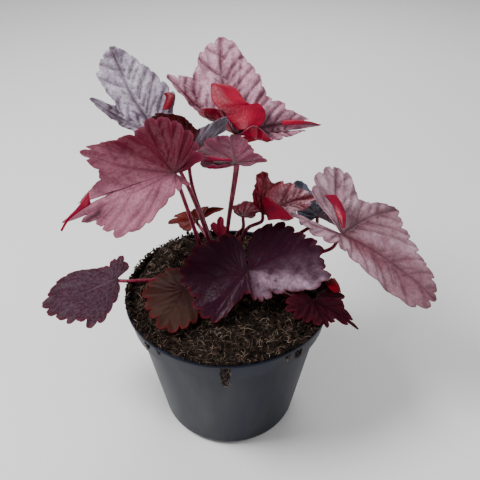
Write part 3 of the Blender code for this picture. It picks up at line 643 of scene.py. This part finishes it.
def bladeMargin(leaf, places, detail):
    # The blade's edge at each place round it: rounded teeth, each with smaller scallops
    vectors = toothVectors(leaf["teeth"])
    slims = np.array([tooth[3] if len(tooth) > 3 else 0.0 for tooth in leaf["teeth"]])
    last = len(vectors) - 1
    index = np.clip(np.floor(places + 0.5).astype(int), 0, last)
    u = places - index
    power = detail["roundness"] * (1 - detail["slimTaper"] * slims[index])
    outerHalf = ((index == 0) & (u < 0)) | ((index == last) & (u > 0))
    drawn = np.where(outerHalf, 1.0, detail["slimNotch"] * slims[index]) * (2 * np.abs(u)) ** power
    edge = smoothThrough(vectors, places) * (1 - drawn)[:, None]
    along = np.gradient(edge[:, :2], axis=0)
    along /= np.maximum(np.linalg.norm(along, axis=1, keepdims=True), 1e-6)
    outward = np.stack([along[:, 1], -along[:, 0]], 1)
    gaps = np.linalg.norm(np.diff(vectors, axis=0), axis=1)
    gap = gaps[np.clip(np.floor(places).astype(int), 0, last - 1)]
    depth = np.clip(detail["notchShare"] * gap, detail["notchLeast"], detail["notchMost"])
    depth = np.where(outerHalf, 0.0, depth * (1 - slims[index]))
    run = np.concatenate([[0], np.cumsum(np.linalg.norm(np.diff(edge, axis=0), axis=1))])
    scallop = 1 - np.abs(np.sin(math.pi * run / detail["scallopWidth"]))
    inward = depth * (2 * np.abs(u)) ** power + detail["scallopDepth"] * scallop - detail["toothReach"]
    # Notches run towards the junction, so that no fold turns the blade over
    reach = np.linalg.norm(edge[:, :2], axis=1, keepdims=True)
    facing = np.abs((outward * edge[:, :2]).sum(1) / reach[:, 0])
    inward = np.where(outerHalf, 0.0, inward) * np.maximum(detail["sideNotch"], facing)
    edge[:, :2] *= 1 - inward[:, None] / np.maximum(reach, detail["shortestReach"])
    return edge, u


def columnPlaces(vectors, detail):
    # Places round the blade, close enough together for its longest teeth
    last = len(vectors) - 1
    fewest = detail["fewestColumns"]
    parts = [np.linspace(-detail["endStep"], 0, fewest, endpoint=False)]
    for k in range(last):
        apart = np.linalg.norm(vectors[k + 1] - vectors[k])
        count = max(fewest, int(apart / detail["columnStep"]))
        parts.append(np.linspace(k, k + 1, count, endpoint=False))
    parts.append(np.linspace(last, last + detail["endStep"], fewest))
    return np.concatenate(parts)


def gridNormals(grid):
    found = np.cross(np.gradient(grid, axis=0), np.gradient(grid, axis=1))
    return found / np.maximum(np.linalg.norm(found, axis=2, keepdims=True), 1e-9)


def ruffleOver(grid, size, seed):
    # Soft humps of about this size, read at every fourth point and smoothed between
    coarse = np.array([[noise.noise(Vector(point) / size + Vector((0, 0, seed))) for point in row]
                       for row in grid[::4, ::4]])
    found = np.repeat(np.repeat(coarse, 4, 0), 4, 1)[:grid.shape[0], :grid.shape[1]]
    for _ in range(6):
        found[1:-1] = (found[:-2] + 2 * found[1:-1] + found[2:]) / 4
        found[:, 1:-1] = (found[:, :-2] + 2 * found[:, 1:-1] + found[:, 2:]) / 4
    return found


def veinLines(vectors, detail, rng):
    # Ribs to the teeth that lead their lobe, side veins to the others and shorter ones between
    flat = vectors[:, :2]
    lengths = np.linalg.norm(flat, axis=1)
    padded = np.concatenate([[0], lengths, [0]])
    leads = [i for i in range(len(flat))
             if padded[i + 1] >= padded[i] and padded[i + 1] > padded[i + 2]]
    lines = [(np.zeros(2), flat[i] * detail["ribEnd"], detail["ribWidth"], 1.0) for i in leads]
    earliest, latest = detail["sideStart"]
    for i, tip in enumerate(flat):
        if i in leads:
            continue
        lead = min(leads, key=lambda k: (abs(k - i), -lengths[k]))
        along = flat[lead] / lengths[lead]
        forward = tip @ along
        aside = abs(tip[0] * along[1] - tip[1] * along[0])
        start = max(earliest * lengths[lead], forward - detail["sideSlant"] * aside)
        lines.append((along * min(start, latest * lengths[lead]), tip * detail["sideEnd"],
                      detail["sideWidth"], detail["sideStrength"]))
    shortest, growth, longest = detail["innerLength"]
    shift = detail["innerShift"]
    for i in leads:
        along = flat[i] / lengths[i]
        across = np.array([-along[1], along[0]])
        out = detail["innerStep"] * rng.uniform(*detail["innerGap"])
        while out < detail["innerUntil"] * lengths[i]:
            for way in (-1, 1):
                reach = min(longest, growth * out + shortest) * rng.uniform(*detail["innerSpread"])
                start = along * (out + rng.uniform(-shift, shift))
                end = start + reach * (along * rng.uniform(*detail["innerLean"]) + way * across)
                lines.append((start, end, detail["sideWidth"], rng.uniform(*detail["innerStrength"])))
            out += detail["innerStep"] * rng.uniform(*detail["innerGap"])
    return lines


def veinsOver(flat, lines, detail):
    # How much each point is on a vein, on a rib, and how far it is from the nearest vein
    vein = np.zeros(flat.shape[:2])
    rib = np.zeros(flat.shape[:2])
    apart = np.full(flat.shape[:2], detail["farthest"])
    for start, end, width, strength in lines:
        run = end - start
        share = np.clip(((flat - start) @ run) / (run @ run), 0, 1)
        bend = detail["bend"] * np.linalg.norm(run) * np.sin(math.pi * share)
        off = flat - start - share[..., None] * run
        off = off - bend[..., None] * np.array([-run[1], run[0]]) / np.linalg.norm(run)
        distance = np.linalg.norm(off, axis=2)
        taper = width * (1 - detail["taper"] * share)
        here = strength * np.exp(-(distance / taper) ** 2) * (1 - detail["fadeOut"] * share)
        vein = np.maximum(vein, here)
        if strength == 1.0:
            rib = np.maximum(rib, here)
        apart = np.minimum(apart, distance + detail["weakApart"] * (1 - strength))
    return vein, rib, apart


def bladeLift(leaf, crinkle, edge, places, s, u, detail):
    # Height off the blade's plane: the teeth's own lift, swelling between them, waves and curled edges
    swell = 4 * leaf["puff"] * np.abs(np.sin(math.pi * places)) ** (2 - crinkle) * s * s
    swell *= (1 - detail["swellFall"] * s) * (
        detail["smoothSwell"] + (1 - detail["smoothSwell"]) * crinkle)
    wave = detail["edgeWave"] * leaf["puff"] * s ** 3 * np.sin(detail["edgeWaveTurn"] * math.pi * places)
    curl = detail["curl"] * s ** detail["curlPower"] * (4 * u * u - 0.5)
    return edge[None, :, 2] * s ** detail["liftPower"] + swell + wave + curl


def bladeSurface(leaf, look, detail, seed):
    # The blade as rows from the stalk out and columns round it, with its veins and quilting
    vectors = toothVectors(leaf["teeth"])
    places = columnPlaces(vectors, detail)
    edge, u = bladeMargin(leaf, places, detail)
    reach = np.linalg.norm(edge, axis=1)
    rows = max(detail["fewestRows"], int(reach.max() / detail["rowStep"]))
    s = ((np.arange(1, rows + 1) / rows) ** detail["rowPower"])[:, None]
    crinkle = look["crinkle"]
    lift = bladeLift(leaf, crinkle, edge, places, s, u, detail)
    local = np.dstack([edge[None, :, :2] * s[:, :, None], lift])
    lines = veinLines(vectors, veinDetail, random.Random(seed))
    vein, rib, apart = veinsOver(local[:, :, :2], lines, veinDetail)
    fromStalk = np.linalg.norm(local, axis=2) / detail["heart"]
    inner = np.clip((1 - s) * reach[None, :] / detail["rimWidth"], 0, 1)
    pillow = np.clip(apart / detail["pillowWidth"], 0, 1)
    pillow = pillow * pillow * (3 - 2 * pillow)
    fade = detail["rimRelief"] + (1 - detail["rimRelief"]) * inner
    fade = np.clip(fromStalk, 0, 1) * fade * crinkle
    relief = (detail["quilt"] * (pillow - 0.5) - detail["groove"] * vein) * fade
    world = bladePlace(leaf, local)
    normals = gridNormals(world)
    ruffle = ruffleOver(world, detail["ruffleSize"], seed)
    height = detail["smoothRuffle"] + (1 - detail["smoothRuffle"]) * crinkle
    humps = detail["ruffle"] * height * ruffle * np.clip(s * detail["ruffleFrom"], 0, 1)
    world = world + normals * (relief + humps)[:, :, None]
    silverAndHighlight = np.interp(places, *zip(*leaf["silverAndHighlight"]))[None, :]
    silverAndHighlight = silverAndHighlight * np.clip(detail["silverStart"] + detail["silverRise"] * s, 0, 1)
    silverAndHighlight = silverAndHighlight * (1 - detail["veinSilver"] * crinkle * (1 - pillow))
    # Painted highlight: more silvering on the raised humps, less in the hollows
    silverAndHighlight = np.clip(silverAndHighlight * (1 + detail["humpHighlight"] * ruffle), 0, 1)
    # Painted shade: darker in the vein creases and near the stalk, lighter on the raised humps
    shade = (1 - detail["veinShade"] * crinkle * (1 - pillow)) * (1 + detail["humpShade"] * ruffle)
    shade = np.clip(shade - detail["heartShade"] * np.clip(1 - fromStalk, 0, 1), detail["darkest"], 1)
    thick = detail["thickness"] + detail["ribThickness"] * rib
    return world, normals, thick, local[:, :, :2], (vein, silverAndHighlight, 1 - inner, shade)


def addSheet(parts, surface, under, flat, values, kinds, tips=None):
    # A closed sheet of rows and columns. With tips, its first row closes on those two points.
    rows, columns = surface.shape[:2]
    lead = 0 if tips is None else 1
    half = lead + rows * columns
    first = len(parts["flat"])
    for grid, tip in ((surface, 0), (under, 1)):
        parts["points"] += [] if tips is None else [tuple(tips[tip])]
        parts["points"] += grid.reshape(-1, 3).tolist()
        parts["flat"] += [(0, 0)] * lead + flat.reshape(-1, 2).tolist()
        for layer, found in zip(leafLayers, values):
            parts[layer] += [float(found[0].mean())] * lead + found.ravel().tolist()
    r, k = np.meshgrid(np.arange(rows - 1), np.arange(columns - 1), indexing="ij")
    a = (lead + r * columns + k).ravel()
    top = np.stack([a, a + columns, a + columns + 1, a + 1], 1).tolist()
    sides = [lead + i * columns for i in range(rows)]
    around = sides + [sides[-1] + i for i in range(1, columns)]
    around += [sides[i] + columns - 1 for i in range(rows - 2, -1, -1)]
    if tips is None:
        around += list(range(columns - 2, 0, -1))
    else:
        top += [(0, 1 + i, 2 + i) for i in range(columns - 1)]
        around = [0] + around
    low = [tuple(half + i for i in reversed(face)) for face in top]
    wall = [(b, c, c + half, b + half) for c, b in zip(around, around[1:] + around[:1])]
    parts["faces"] += [tuple(first + i for i in face) for face in top + low + wall]
    parts["kinds"] += [kinds[0]] * len(top) + [kinds[1]] * len(low) + [kinds[0]] * len(wall)


def addFlap(parts, leaf, flap, detail, seed):
    # A fold of the blade, lofted between its two edges and bulging a little
    edges = [smoothThrough(toothVectors(edge), np.linspace(0, len(edge) - 1, detail["columns"]))
             for edge in flap]
    v = np.linspace(0, 1, detail["rows"])[:, None, None]
    local = edges[0][None] * (1 - v) + edges[1][None] * v
    width = np.linalg.norm(edges[1] - edges[0], axis=1)
    arch = np.sin(math.pi * v[:, :, 0]) * np.minimum(1, width / detail["fullWidth"])[None, :]
    world = bladePlace(leaf, local)
    normals = gridNormals(world)
    ruffle = ruffleOver(world, detail["ruffleSize"], seed)
    outward = np.sign((normals @ bladeFrame(leaf)[2]).mean())
    world = world + normals * (outward * detail["bulge"] * arch + detail["ruffle"] * ruffle)[:, :, None]
    streak = 0.5 + 0.5 * np.sin(np.linspace(0, detail["streaks"] * math.pi, detail["columns"]))[None, :]
    # Painted light and shade: the flap darker overall, lighter on its humps and on the middle of its bulge
    plain, humpShading, bulgeLight = detail["shade"]
    shade = np.clip(plain + humpShading * ruffle + bulgeLight * arch, detail["darkest"], 1)
    values = (detail["streakStrength"] * arch * streak, 0 * arch, 1 - arch, shade)
    addSheet(parts, world, world - normals * detail["thickness"], local[:, :, :2], values, (1, 1))


def makeBlade(name, leaf, detail, seed):
    look = leafLook(name)
    world, normals, thick, flat, values = bladeSurface(leaf, look, detail, seed)
    parts = {key: [] for key in ("points", "faces", "kinds", "flat") + leafLayers}
    apex = np.array(leaf["junction"], float)
    tips = (apex, apex - bladeFrame(leaf)[2] * detail["thickness"])
    addSheet(parts, world, world - normals * thick[:, :, None], flat, values, (0, 1), tips)
    for flap in leaf.get("flaps", ()):
        addFlap(parts, leaf, flap, flapDetail, seed)
    mesh = newMesh(name, parts["points"], parts["faces"], parts["kinds"])
    for layer in leafLayers:
        mesh.attributes.new(layer, "FLOAT", "POINT").data.foreach_set("value", parts[layer])
    plane = mesh.uv_layers.new(name="bladePlane")
    corners = np.zeros(len(mesh.loops), int)
    mesh.loops.foreach_get("vertex_index", corners)
    spots = np.array(parts["flat"]) / leafSurface["mapSide"] + 0.5
    plane.data.foreach_set("uv", spots[corners].ravel())
    return newPiece("leaf_" + name, mesh, [
        leafMaterial("leafSkin_" + name, look, False),
        leafMaterial("leafUnderside_" + name, look, True)], "blade_" + name)


# Stalks: tapered tubes with short hairs, as the part's own run from its soil to the blade

stalkShape = {
    "footRadius": 1.45, "topRadius": 1.05, "footHeight": 89.0, "bendHeight": 101.0, "leanLimit": 3.5,
    "straightTop": 8.0, "sides": 12, "stepsBetween": 14, "hairFrom": 11.0, "hairLength": 0.8,
    "hairEvery": 0.7, "hairGap": (0.5, 1.5), "hairLean": (-0.4, 0.6), "hairSpread": (0.5, 1.2),
    # light is the colour of the painted highlight streaks on the stalks; the hairs take it as their darker
    # tone
    "hairRoot": 0.9, "hairRadius": 0.05, "color": "#7A1230", "dark": "#48081A", "light": "#A84466",
    "hair": "#C89AA6",
}
tubeStart = (0.3, 0.9, 0.1)  # a direction that no stalk, bud or fibre starts out in


def stalkStops(leaf, shape):
    x, y = leaf["foot"]
    normal = Vector(bladeFrame(leaf)[2])
    junction = Vector(leaf["junction"])
    top = junction - normal * leaf.get("under", shape["straightTop"])
    follow = Vector(leaf["by"][0]) if leaf["by"] else top
    rise = shape["bendHeight"] - shape["footHeight"]
    lean = Vector((follow.x - x, follow.y - y, 0)) * rise / max(1.0, follow.z - shape["footHeight"])
    if lean.length > shape["leanLimit"]:
        lean = lean.normalized() * shape["leanLimit"]
    low = Vector((x, y, shape["footHeight"]))
    high = low + lean + Vector((0, 0, rise))
    return [low, high] + [Vector(p) for p in leaf["by"]] + [top, junction - normal * 0.5]


def tubeMesh(path, radii, sides):
    # A tube along the path with closed ends
    path = np.asarray(path, float)
    ahead = np.gradient(path, axis=0)
    ahead /= np.linalg.norm(ahead, axis=1)[:, None]
    side = np.cross(ahead[0], tubeStart)
    rings = []
    turns = np.arange(sides) / sides * math.tau
    for i, point in enumerate(path):
        side = side - ahead[i] * (side @ ahead[i])
        side /= np.linalg.norm(side)
        other = np.cross(ahead[i], side)
        rings.append(point + radii[i] * (np.cos(turns)[:, None] * side + np.sin(turns)[:, None] * other))
    faces = []
    for i in range(len(path) - 1):
        for k in range(sides):
            n = (k + 1) % sides
            faces.append((i * sides + k, i * sides + n, (i + 1) * sides + n, (i + 1) * sides + k))
    faces.append(tuple(range(sides - 1, -1, -1)))
    faces.append(tuple(range((len(path) - 1) * sides, len(path) * sides)))
    return np.vstack(rings), faces


def addHair(points, faces, root, out, ahead, shape, rng):
    # A hair is a thin three-sided spike that stands out of the stalk
    across = np.cross(ahead, out)
    lean = ahead * rng.uniform(*shape["hairLean"])
    tip = root + (out + lean) * shape["hairLength"] * rng.uniform(*shape["hairSpread"])
    first = len(points)
    for turn in (0, math.tau / 3, 2 * math.tau / 3):
        points.append(root + shape["hairRadius"] * (math.cos(turn) * across + math.sin(turn) * ahead))
    points.append(tip)
    faces += [(first, first + 1, first + 3), (first + 1, first + 2, first + 3),
              (first + 2, first, first + 3), (first + 2, first + 1, first)]


def makeStalk(name, leaf, shape, materials, rng):
    stops = [list(p) for p in stalkStops(leaf, shape)]
    places = np.linspace(0, len(stops) - 1, shape["stepsBetween"] * (len(stops) - 1) + 1)
    path = smoothThrough(stops, places)
    radii = np.interp(places, (0, places[-1]), (shape["footRadius"], shape["topRadius"]))
    tube, faces = tubeMesh(path, radii, shape["sides"])
    points = list(tube)
    skinFaces = len(faces)
    run = np.concatenate([[0], np.cumsum(np.linalg.norm(np.diff(path, axis=0), axis=1))])
    at = shape["hairFrom"]
    while at < run[-1] - 1:
        at += shape["hairEvery"] * rng.uniform(*shape["hairGap"])
        center, beyond = (np.array([np.interp(at + step, run, path[:, i]) for i in range(3)])
                          for step in (-0.5, 0.5))
        ahead = (beyond - center) / max(np.linalg.norm(beyond - center), 1e-6)
        out = np.cross(ahead, [rng.uniform(-1, 1) for _ in range(3)])
        out /= max(np.linalg.norm(out), 1e-6)
        root = center + out * shape["hairRoot"] * np.interp(at, run, radii)
        addHair(points, faces, root, out, ahead, shape, rng)
    kinds = [0] * skinFaces + [1] * (len(faces) - skinFaces)
    mesh = newMesh("stalk_" + name, points, faces, kinds)
    return newPiece("stem_" + name, mesh, materials, "stalk_" + name)


plantSeed = 7
leafSeedStep = 7.3
rng = random.Random(plantSeed)
stalkMaterials = [
    stalkMaterial("crimsonStalk", stalkShape["color"], stalkShape["dark"], stalkShape["light"]),
    stalkMaterial("stalkHair", stalkShape["hair"], stalkShape["light"], stalkShape["hair"])]
for number, (leafName, leafShape) in enumerate(leafShapes.items()):
    makeStalk(leafName, leafShape, stalkShape, stalkMaterials, rng)
    makeBlade(leafName, leafShape, bladeDetail, number * leafSeedStep)
print("leaves and stalks made")


# Buds at the crown: small pointed scales, swollen in the middle

budShape = {
    "places": ((3, 14, 99), (-1, 12, 99), (-9, 16, 99), (7, 17, 99)), "lengths": (9, 6, 7, 6),
    "leans": ((0.1, -0.1), (-0.2, -0.3), (-0.4, -0.1), (0.4, 0.0)), "radius": 1.9,
    "tipRadius": 0.08, "fullness": 0.7, "taper": 0.55, "steps": 10, "sides": 10,
    # light is the colour of the painted highlight streaks on the buds
    "color": "#A81838", "dark": "#6A0C20", "light": "#D05C7C",
}


def makeBuds(buds):
    points, faces = [], []
    for place, length, lean in zip(buds["places"], buds["lengths"], buds["leans"]):
        share = np.linspace(0, 1, buds["steps"])
        path = np.array(place) + length * share[:, None] * np.array([*lean, 1.0])
        swell = np.sin(math.pi * share) ** buds["fullness"]
        radii = buds["tipRadius"] + buds["radius"] * swell * (1 - buds["taper"] * share)
        tube, tubeFaces = tubeMesh(path, radii, buds["sides"])
        faces += [tuple(len(points) + i for i in face) for face in tubeFaces]
        points += tube.tolist()
    mesh = newMesh("crownBuds", points, faces)
    newPiece("crownBuds", mesh, [
        stalkMaterial("budScale", buds["color"], buds["dark"], buds["light"])])


makeBuds(budShape)
print("buds made")


# Soil: a broken crust over the solid soil, crumbs of peat and curled coir fibres

soilShape = {
    "edgeHeight": 95.6, "mound": 2.2, "relief": 0.9, "topRadius": 61.7, "radius": 61.6,
    "waves": ((0.31, -0.27, 2.67, 0.31), (0.31, 0.27, -1.27, 0.31), (0.53, -0.22, 1.9, 0.38),
              (0.19, 0.61, 0.3, 0.31)),
    "heap": (-32, 36), "heapRise": 9.0, "heapSpread": 17.0, "lumps": (0.16, 3.1), "grit": (0.6, 8.2),
    "gritShare": 0.5, "crustDepth": 0.35, "lumpDepth": (0.9, 1.3), "edgeWidth": 7.0, "edgeShare": 0.25,
    "crustStep": 0.8, "crustFoot": 93.5, "leastCrust": 0.1, "smoothAngle": 50,
    "crumbs": 3200, "crumbSizes": (0.4, 0.5, 0.7, 0.9, 1.2, 1.7), "crumbRise": 0.2,
    "spillCrumbs": (0.35, 1.1), "dribbleCrumbs": (0.3, 0.8),
    "fibres": 5200, "fibreLength": (3.0, 11.0), "fibreRadius": (0.09, 0.22), "fibreSteps": 4,
    "fibreCurl": (-4, 4), "fibreArch": (0.2, 1.3), "fibreWander": (-0.25, 0.25),
    "spillFibres": 0.5, "spillReach": (1.0, 3.0), "spillBend": (0.2, 0.9),
    "dribbleDrop": (1.0, 3.5), "dribbleSwing": (-1.5, 1.5),
    # Peat on the lip: from one angle to another, how many crumbs, and how high they lie
    "spills": ((95, 205, 420, 3.4), (-152, -118, 150, 2.2), (-120, -75, 240, 2.0), (-75, -32, 260, 2.4),
               (-98, -85, 110, 1.8)),
    # Peat stuck to the outside of the band: its angle, how far down it hangs, and how many crumbs
    "dribbles": ((-92, 21, 150), (-139, 9, 50), (-130, 5, 30), (-50, 12, 70), (-58, 6, 30)),
    "dribbleFall": 1.3, "dribbleWidth": 4.2, "dribbleTaper": 0.6, "dribbleInset": (0.7, 0.15),
    "dribbleDepth": (-0.3, 0.4), "spillInset": (0.4, 3.0), "spillSink": 0.4,
    # Dark, dry and mossy colours of the peat, and brown and damp ones of the fibres
    "peat": {
        "dampPeat": ("#130F0C", "#3E3028", "#26281A"), "packedPeat": ("#0E0B09", "#241C16", "#16120E"),
        "peatCrumb": ("#14100D", "#382A22", "#1A1410"), "coirCrumb": ("#1C1410", "#40322A", "#241C16"),
        "barkCrumb": ("#34261E", "#6A5244", "#3A2C22")},
    "coir": {
        "coirPale": ("#8A7264", "#5A4638"), "coirBrown": ("#54423A", "#30241E"),
        "coirDark": ("#2C221C", "#16110E"), "coirDry": ("#A08C7C", "#6E5A4C")},
}


def soilHeight(x, y, soil):
    share = math.hypot(x, y) / soil["topRadius"]
    bumps = 0.0
    for alongX, alongY, start, weight in soil["waves"]:
        bumps += weight * math.sin(alongX * x + alongY * y + start)
    return soil["edgeHeight"] + soil["mound"] * (1 - share * share) + soil["relief"] * bumps


def crustHeight(x, y, soil):
    # Loose peat over the packed soil, heaped up behind the crown on the left
    scale, start = soil["lumps"]
    lumps = noise.fractal(Vector((x * scale, y * scale, start)), 0.9, 2.1, 4)
    scale, start = soil["grit"]
    lumps += soil["gritShare"] * abs(noise.noise(Vector((x * scale, y * scale, start))))
    edge = min(1.0, max(0.0, (soil["radius"] - math.hypot(x, y)) / soil["edgeWidth"]))
    away = math.hypot(x - soil["heap"][0], y - soil["heap"][1]) / soil["heapSpread"]
    heap = soil["heapRise"] * math.exp(-away * away)
    plain, lumpy = soil["lumpDepth"]
    rough = (plain + lumps * lumpy) * (soil["edgeShare"] + (1 - soil["edgeShare"]) * edge)
    return soilHeight(x, y, soil) + soil["crustDepth"] + rough + heap


def makeCrust(soil):
    deselectAll()
    cuts = int(2 * soil["radius"] / soil["crustStep"])
    bpy.ops.mesh.primitive_grid_add(x_subdivisions=cuts, y_subdivisions=cuts, size=2 * soil["radius"] * mm)
    piece = bpy.context.active_object
    piece.name = "soilCrust"
    bm = bmesh.new()
    bm.from_mesh(piece.data)
    outside = [v for v in bm.verts if v.co.xy.length > (soil["radius"] + 0.4) * mm]
    bmesh.ops.delete(bm, geom=outside, context="VERTS")
    for v in bm.verts:
        x, y = v.co.x / mm, v.co.y / mm
        v.co.z = max(crustHeight(x, y, soil), soilHeight(x, y, soil) + soil["leastCrust"]) * mm
    border = [e for e in bm.edges if e.is_boundary]
    wall = bmesh.ops.extrude_edge_only(bm, edges=border)["geom"]
    for v in wall:
        if isinstance(v, bmesh.types.BMVert):
            v.co.z = soil["crustFoot"] * mm
    bmesh.ops.contextual_create(bm, geom=[e for e in bm.edges if e.is_boundary])
    bmesh.ops.recalc_face_normals(bm, faces=bm.faces)
    bm.to_mesh(piece.data)
    bm.free()
    makeActive(piece)
    bpy.ops.object.shade_smooth_by_angle(angle=math.radians(soil["smoothAngle"]))
    piece.data.materials.append(soilMaterial("dampPeat", *soil["peat"]["dampPeat"]))
    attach(piece, "root")


def soilSpot(rng, soil, limit):
    while True:
        x, y = rng.uniform(-limit, limit), rng.uniform(-limit, limit)
        if math.hypot(x, y) < limit:
            return x, y, crustHeight(x, y, soil)


def spillSpot(rng, spill, soil):
    # Peat lying on the lip
    low, high, _, depth = spill
    turn = math.radians(rng.uniform(low, high))
    r = potShape["rimRadius"] - rng.uniform(*soil["spillInset"])
    sink = soil["spillSink"]
    return r * math.cos(turn), r * math.sin(turn), potShape["height"] + rng.uniform(-sink, depth - sink)


def dribbleSpot(rng, dribble, soil):
    # Peat and roots stuck to the outside of the band, narrower further down
    turn, reach, _ = dribble
    down = reach * rng.random() ** soil["dribbleFall"]
    wide = soil["dribbleWidth"] * (1 - soil["dribbleTaper"] * down / reach)
    turn = math.radians(turn + wide * (rng.random() + rng.random() - 1))
    inset, lean = soil["dribbleInset"]
    r = potShape["rimRadius"] - inset - lean * down + rng.uniform(*soil["dribbleDepth"])
    return r * math.cos(turn), r * math.sin(turn), potShape["height"] - down


def makeCrumbs(soil, rng):
    # One crumb is shaped once, a lump with broken faces, and each copy is turned and stretched
    deselectAll()
    bpy.ops.mesh.primitive_ico_sphere_add(subdivisions=1, radius=1.0, location=(0, 0, 0))
    lump = bpy.context.active_object
    base = np.array([v.co[:] for v in lump.data.vertices])
    baseFaces = [tuple(p.vertices) for p in lump.data.polygons]
    bpy.data.objects.remove(lump, do_unlink=True)
    spots = []
    for _ in range(soil["crumbs"]):
        x, y, z = soilSpot(rng, soil, soil["radius"] - 1.5)
        size = rng.choice(soil["crumbSizes"])
        spots.append((x, y, z + size * soil["crumbRise"], size))
    for spill in soil["spills"]:
        sizes = soil["spillCrumbs"]
        spots += [(*spillSpot(rng, spill, soil), rng.uniform(*sizes)) for _ in range(spill[2])]
    for dribble in soil["dribbles"]:
        sizes = soil["dribbleCrumbs"]
        spots += [(*dribbleSpot(rng, dribble, soil), rng.uniform(*sizes)) for _ in range(dribble[2])]
    points, faces, kinds = [], [], []
    for x, y, z, size in spots:
        axis = Vector([rng.uniform(-1, 1) for _ in range(3)]).normalized()
        turn = np.array(Matrix.Rotation(rng.uniform(0, math.tau), 3, axis))
        stretch = np.array([rng.uniform(0.6, 1.4), rng.uniform(0.6, 1.2), rng.uniform(0.5, 0.9)])
        jitter = np.array([[rng.uniform(0.75, 1.2)] for _ in base])
        faces += [tuple(len(points) + i for i in face) for face in baseFaces]
        points += ((base * jitter * stretch * size) @ turn.T + np.array([x, y, z])).tolist()
        kinds += [rng.choice((0, 0, 0, 0, 1, 1, 2))] * len(baseFaces)
    mesh = newMesh("soilCrumbs", points, faces, kinds, smooth=False)
    newPiece("soilCrumbs", mesh, [
        soilMaterial(name, *soil["peat"][name]) for name in ("peatCrumb", "coirCrumb", "barkCrumb")])


def makeFibres(soil, rng):
    starts = []
    for _ in range(soil["fibres"]):
        starts.append((*soilSpot(rng, soil, soil["radius"] - 1.0), rng.uniform(*soil["fibreLength"])))
    points, faces, kinds = [], [], []
    steps = soil["fibreSteps"]

    def addFibre(path, radius):
        ends = 0.4 + 0.6 * np.sin(math.pi * np.linspace(0.12, 0.88, len(path)))
        tube, tubeFaces = tubeMesh(path, radius * ends, 3)
        faces.extend(tuple(len(points) + i for i in face) for face in tubeFaces)
        points.extend(tube.tolist())
        kinds.extend([rng.choice((0, 1, 1, 1, 2, 2, 2, 3))] * len(tubeFaces))

    for x, y, _, length in starts:
        turn = rng.uniform(0, math.tau)
        curl = rng.uniform(*soil["fibreCurl"])
        arch = rng.uniform(*soil["fibreArch"])
        path = []
        for i in range(steps + 1):
            away = max(1.0, math.hypot(x, y) / (soil["radius"] - 0.4))
            px, py = x / away, y / away
            path.append((px, py, crustHeight(px, py, soil) + 0.1 + arch * math.sin(math.pi * i / steps)))
            x += math.cos(turn) * length / steps
            y += math.sin(turn) * length / steps
            turn += curl / steps + rng.uniform(*soil["fibreWander"])
        addFibre(path, rng.uniform(*soil["fibreRadius"]))
    for spill in soil["spills"]:
        for _ in range(int(spill[2] * soil["spillFibres"])):
            x, y, z = spillSpot(rng, spill, soil)
            turn = rng.uniform(0, math.tau)
            reach = rng.uniform(*soil["spillReach"])
            bend = rng.uniform(*soil["spillBend"])
            path = [(x + f * reach * math.cos(turn), y + f * reach * math.sin(turn), z + bend * (1 - f * f))
                    for f in (-1, -0.4, 0.4, 1)]
            if all(math.hypot(px, py) < potShape["rimRadius"] + 0.5 for px, py, _ in path):
                addFibre(path, rng.uniform(*soil["fibreRadius"]))
    for dribble in soil["dribbles"]:
        for _ in range(dribble[2]):
            x, y, z = dribbleSpot(rng, dribble, soil)
            drop = rng.uniform(*soil["dribbleDrop"])
            swing = rng.uniform(*soil["dribbleSwing"])
            path = [(x + swing * f, y + 0.15 * f, z - drop * f) for f in (0, 0.35, 0.7, 1.0)]
            addFibre(path, rng.uniform(*soil["fibreRadius"]))
    mesh = newMesh("soilFibres", points, faces, kinds)
    newPiece("soilFibres", mesh, [
        fibreMaterial(name, *colors) for name, colors in soil["coir"].items()])


makeCrust(soilShape)
makeCrumbs(soilShape, rng)
makeFibres(soilShape, rng)
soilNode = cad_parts["soil"]
soilNode.data.materials.clear()
soilNode.data.materials.append(soilMaterial("packedPeat", *soilShape["peat"]["packedPeat"]))
print("soil made")


# Stage: pale floor, soft studio light

stageLook = {
    "floor": "#FFFFFF", "floorSize": 4.0, "world": "#FFFFFF", "worldStrength": 0.35, "aim": 0.12,
    "key": {"place": (-0.6, -0.1, 0.9), "size": 0.45, "power": 10.8},
    "fill": {"place": (0.7, -0.35, 0.55), "size": 0.8, "power": 1.6},
    "back": {"place": (0.1, 0.8, 0.75), "size": 0.7, "power": 3.5},
}


def makeStage(look):
    deselectAll()
    bpy.ops.mesh.primitive_plane_add(size=look["floorSize"], location=(0, 0, 0))
    floor = bpy.context.active_object
    floor.name = "studioFloor"
    floor.data.materials.append(floorMaterial("paintedFloor", look["floor"]))
    world = bpy.data.worlds.new("studioWorld")
    world.use_nodes = True
    backdrop = world.node_tree.nodes["Background"]
    backdrop.inputs[0].default_value = linearColor(look["world"])
    backdrop.inputs[1].default_value = look["worldStrength"]
    bpy.context.scene.world = world
    for name in ("key", "fill", "back"):
        lamp = look[name]
        data = bpy.data.lights.new(name + "Light", "AREA")
        data.shape = "DISK"
        data.size = lamp["size"]
        data.energy = lamp["power"]
        made = bpy.data.objects.new(name + "Light", data)
        bpy.context.scene.collection.objects.link(made)
        made.location = lamp["place"]
        toPlant = Vector((0, 0, look["aim"])) - Vector(lamp["place"])
        made.rotation_euler = toPlant.to_track_quat("-Z", "Y").to_euler()


makeStage(stageLook)
print("stage made")
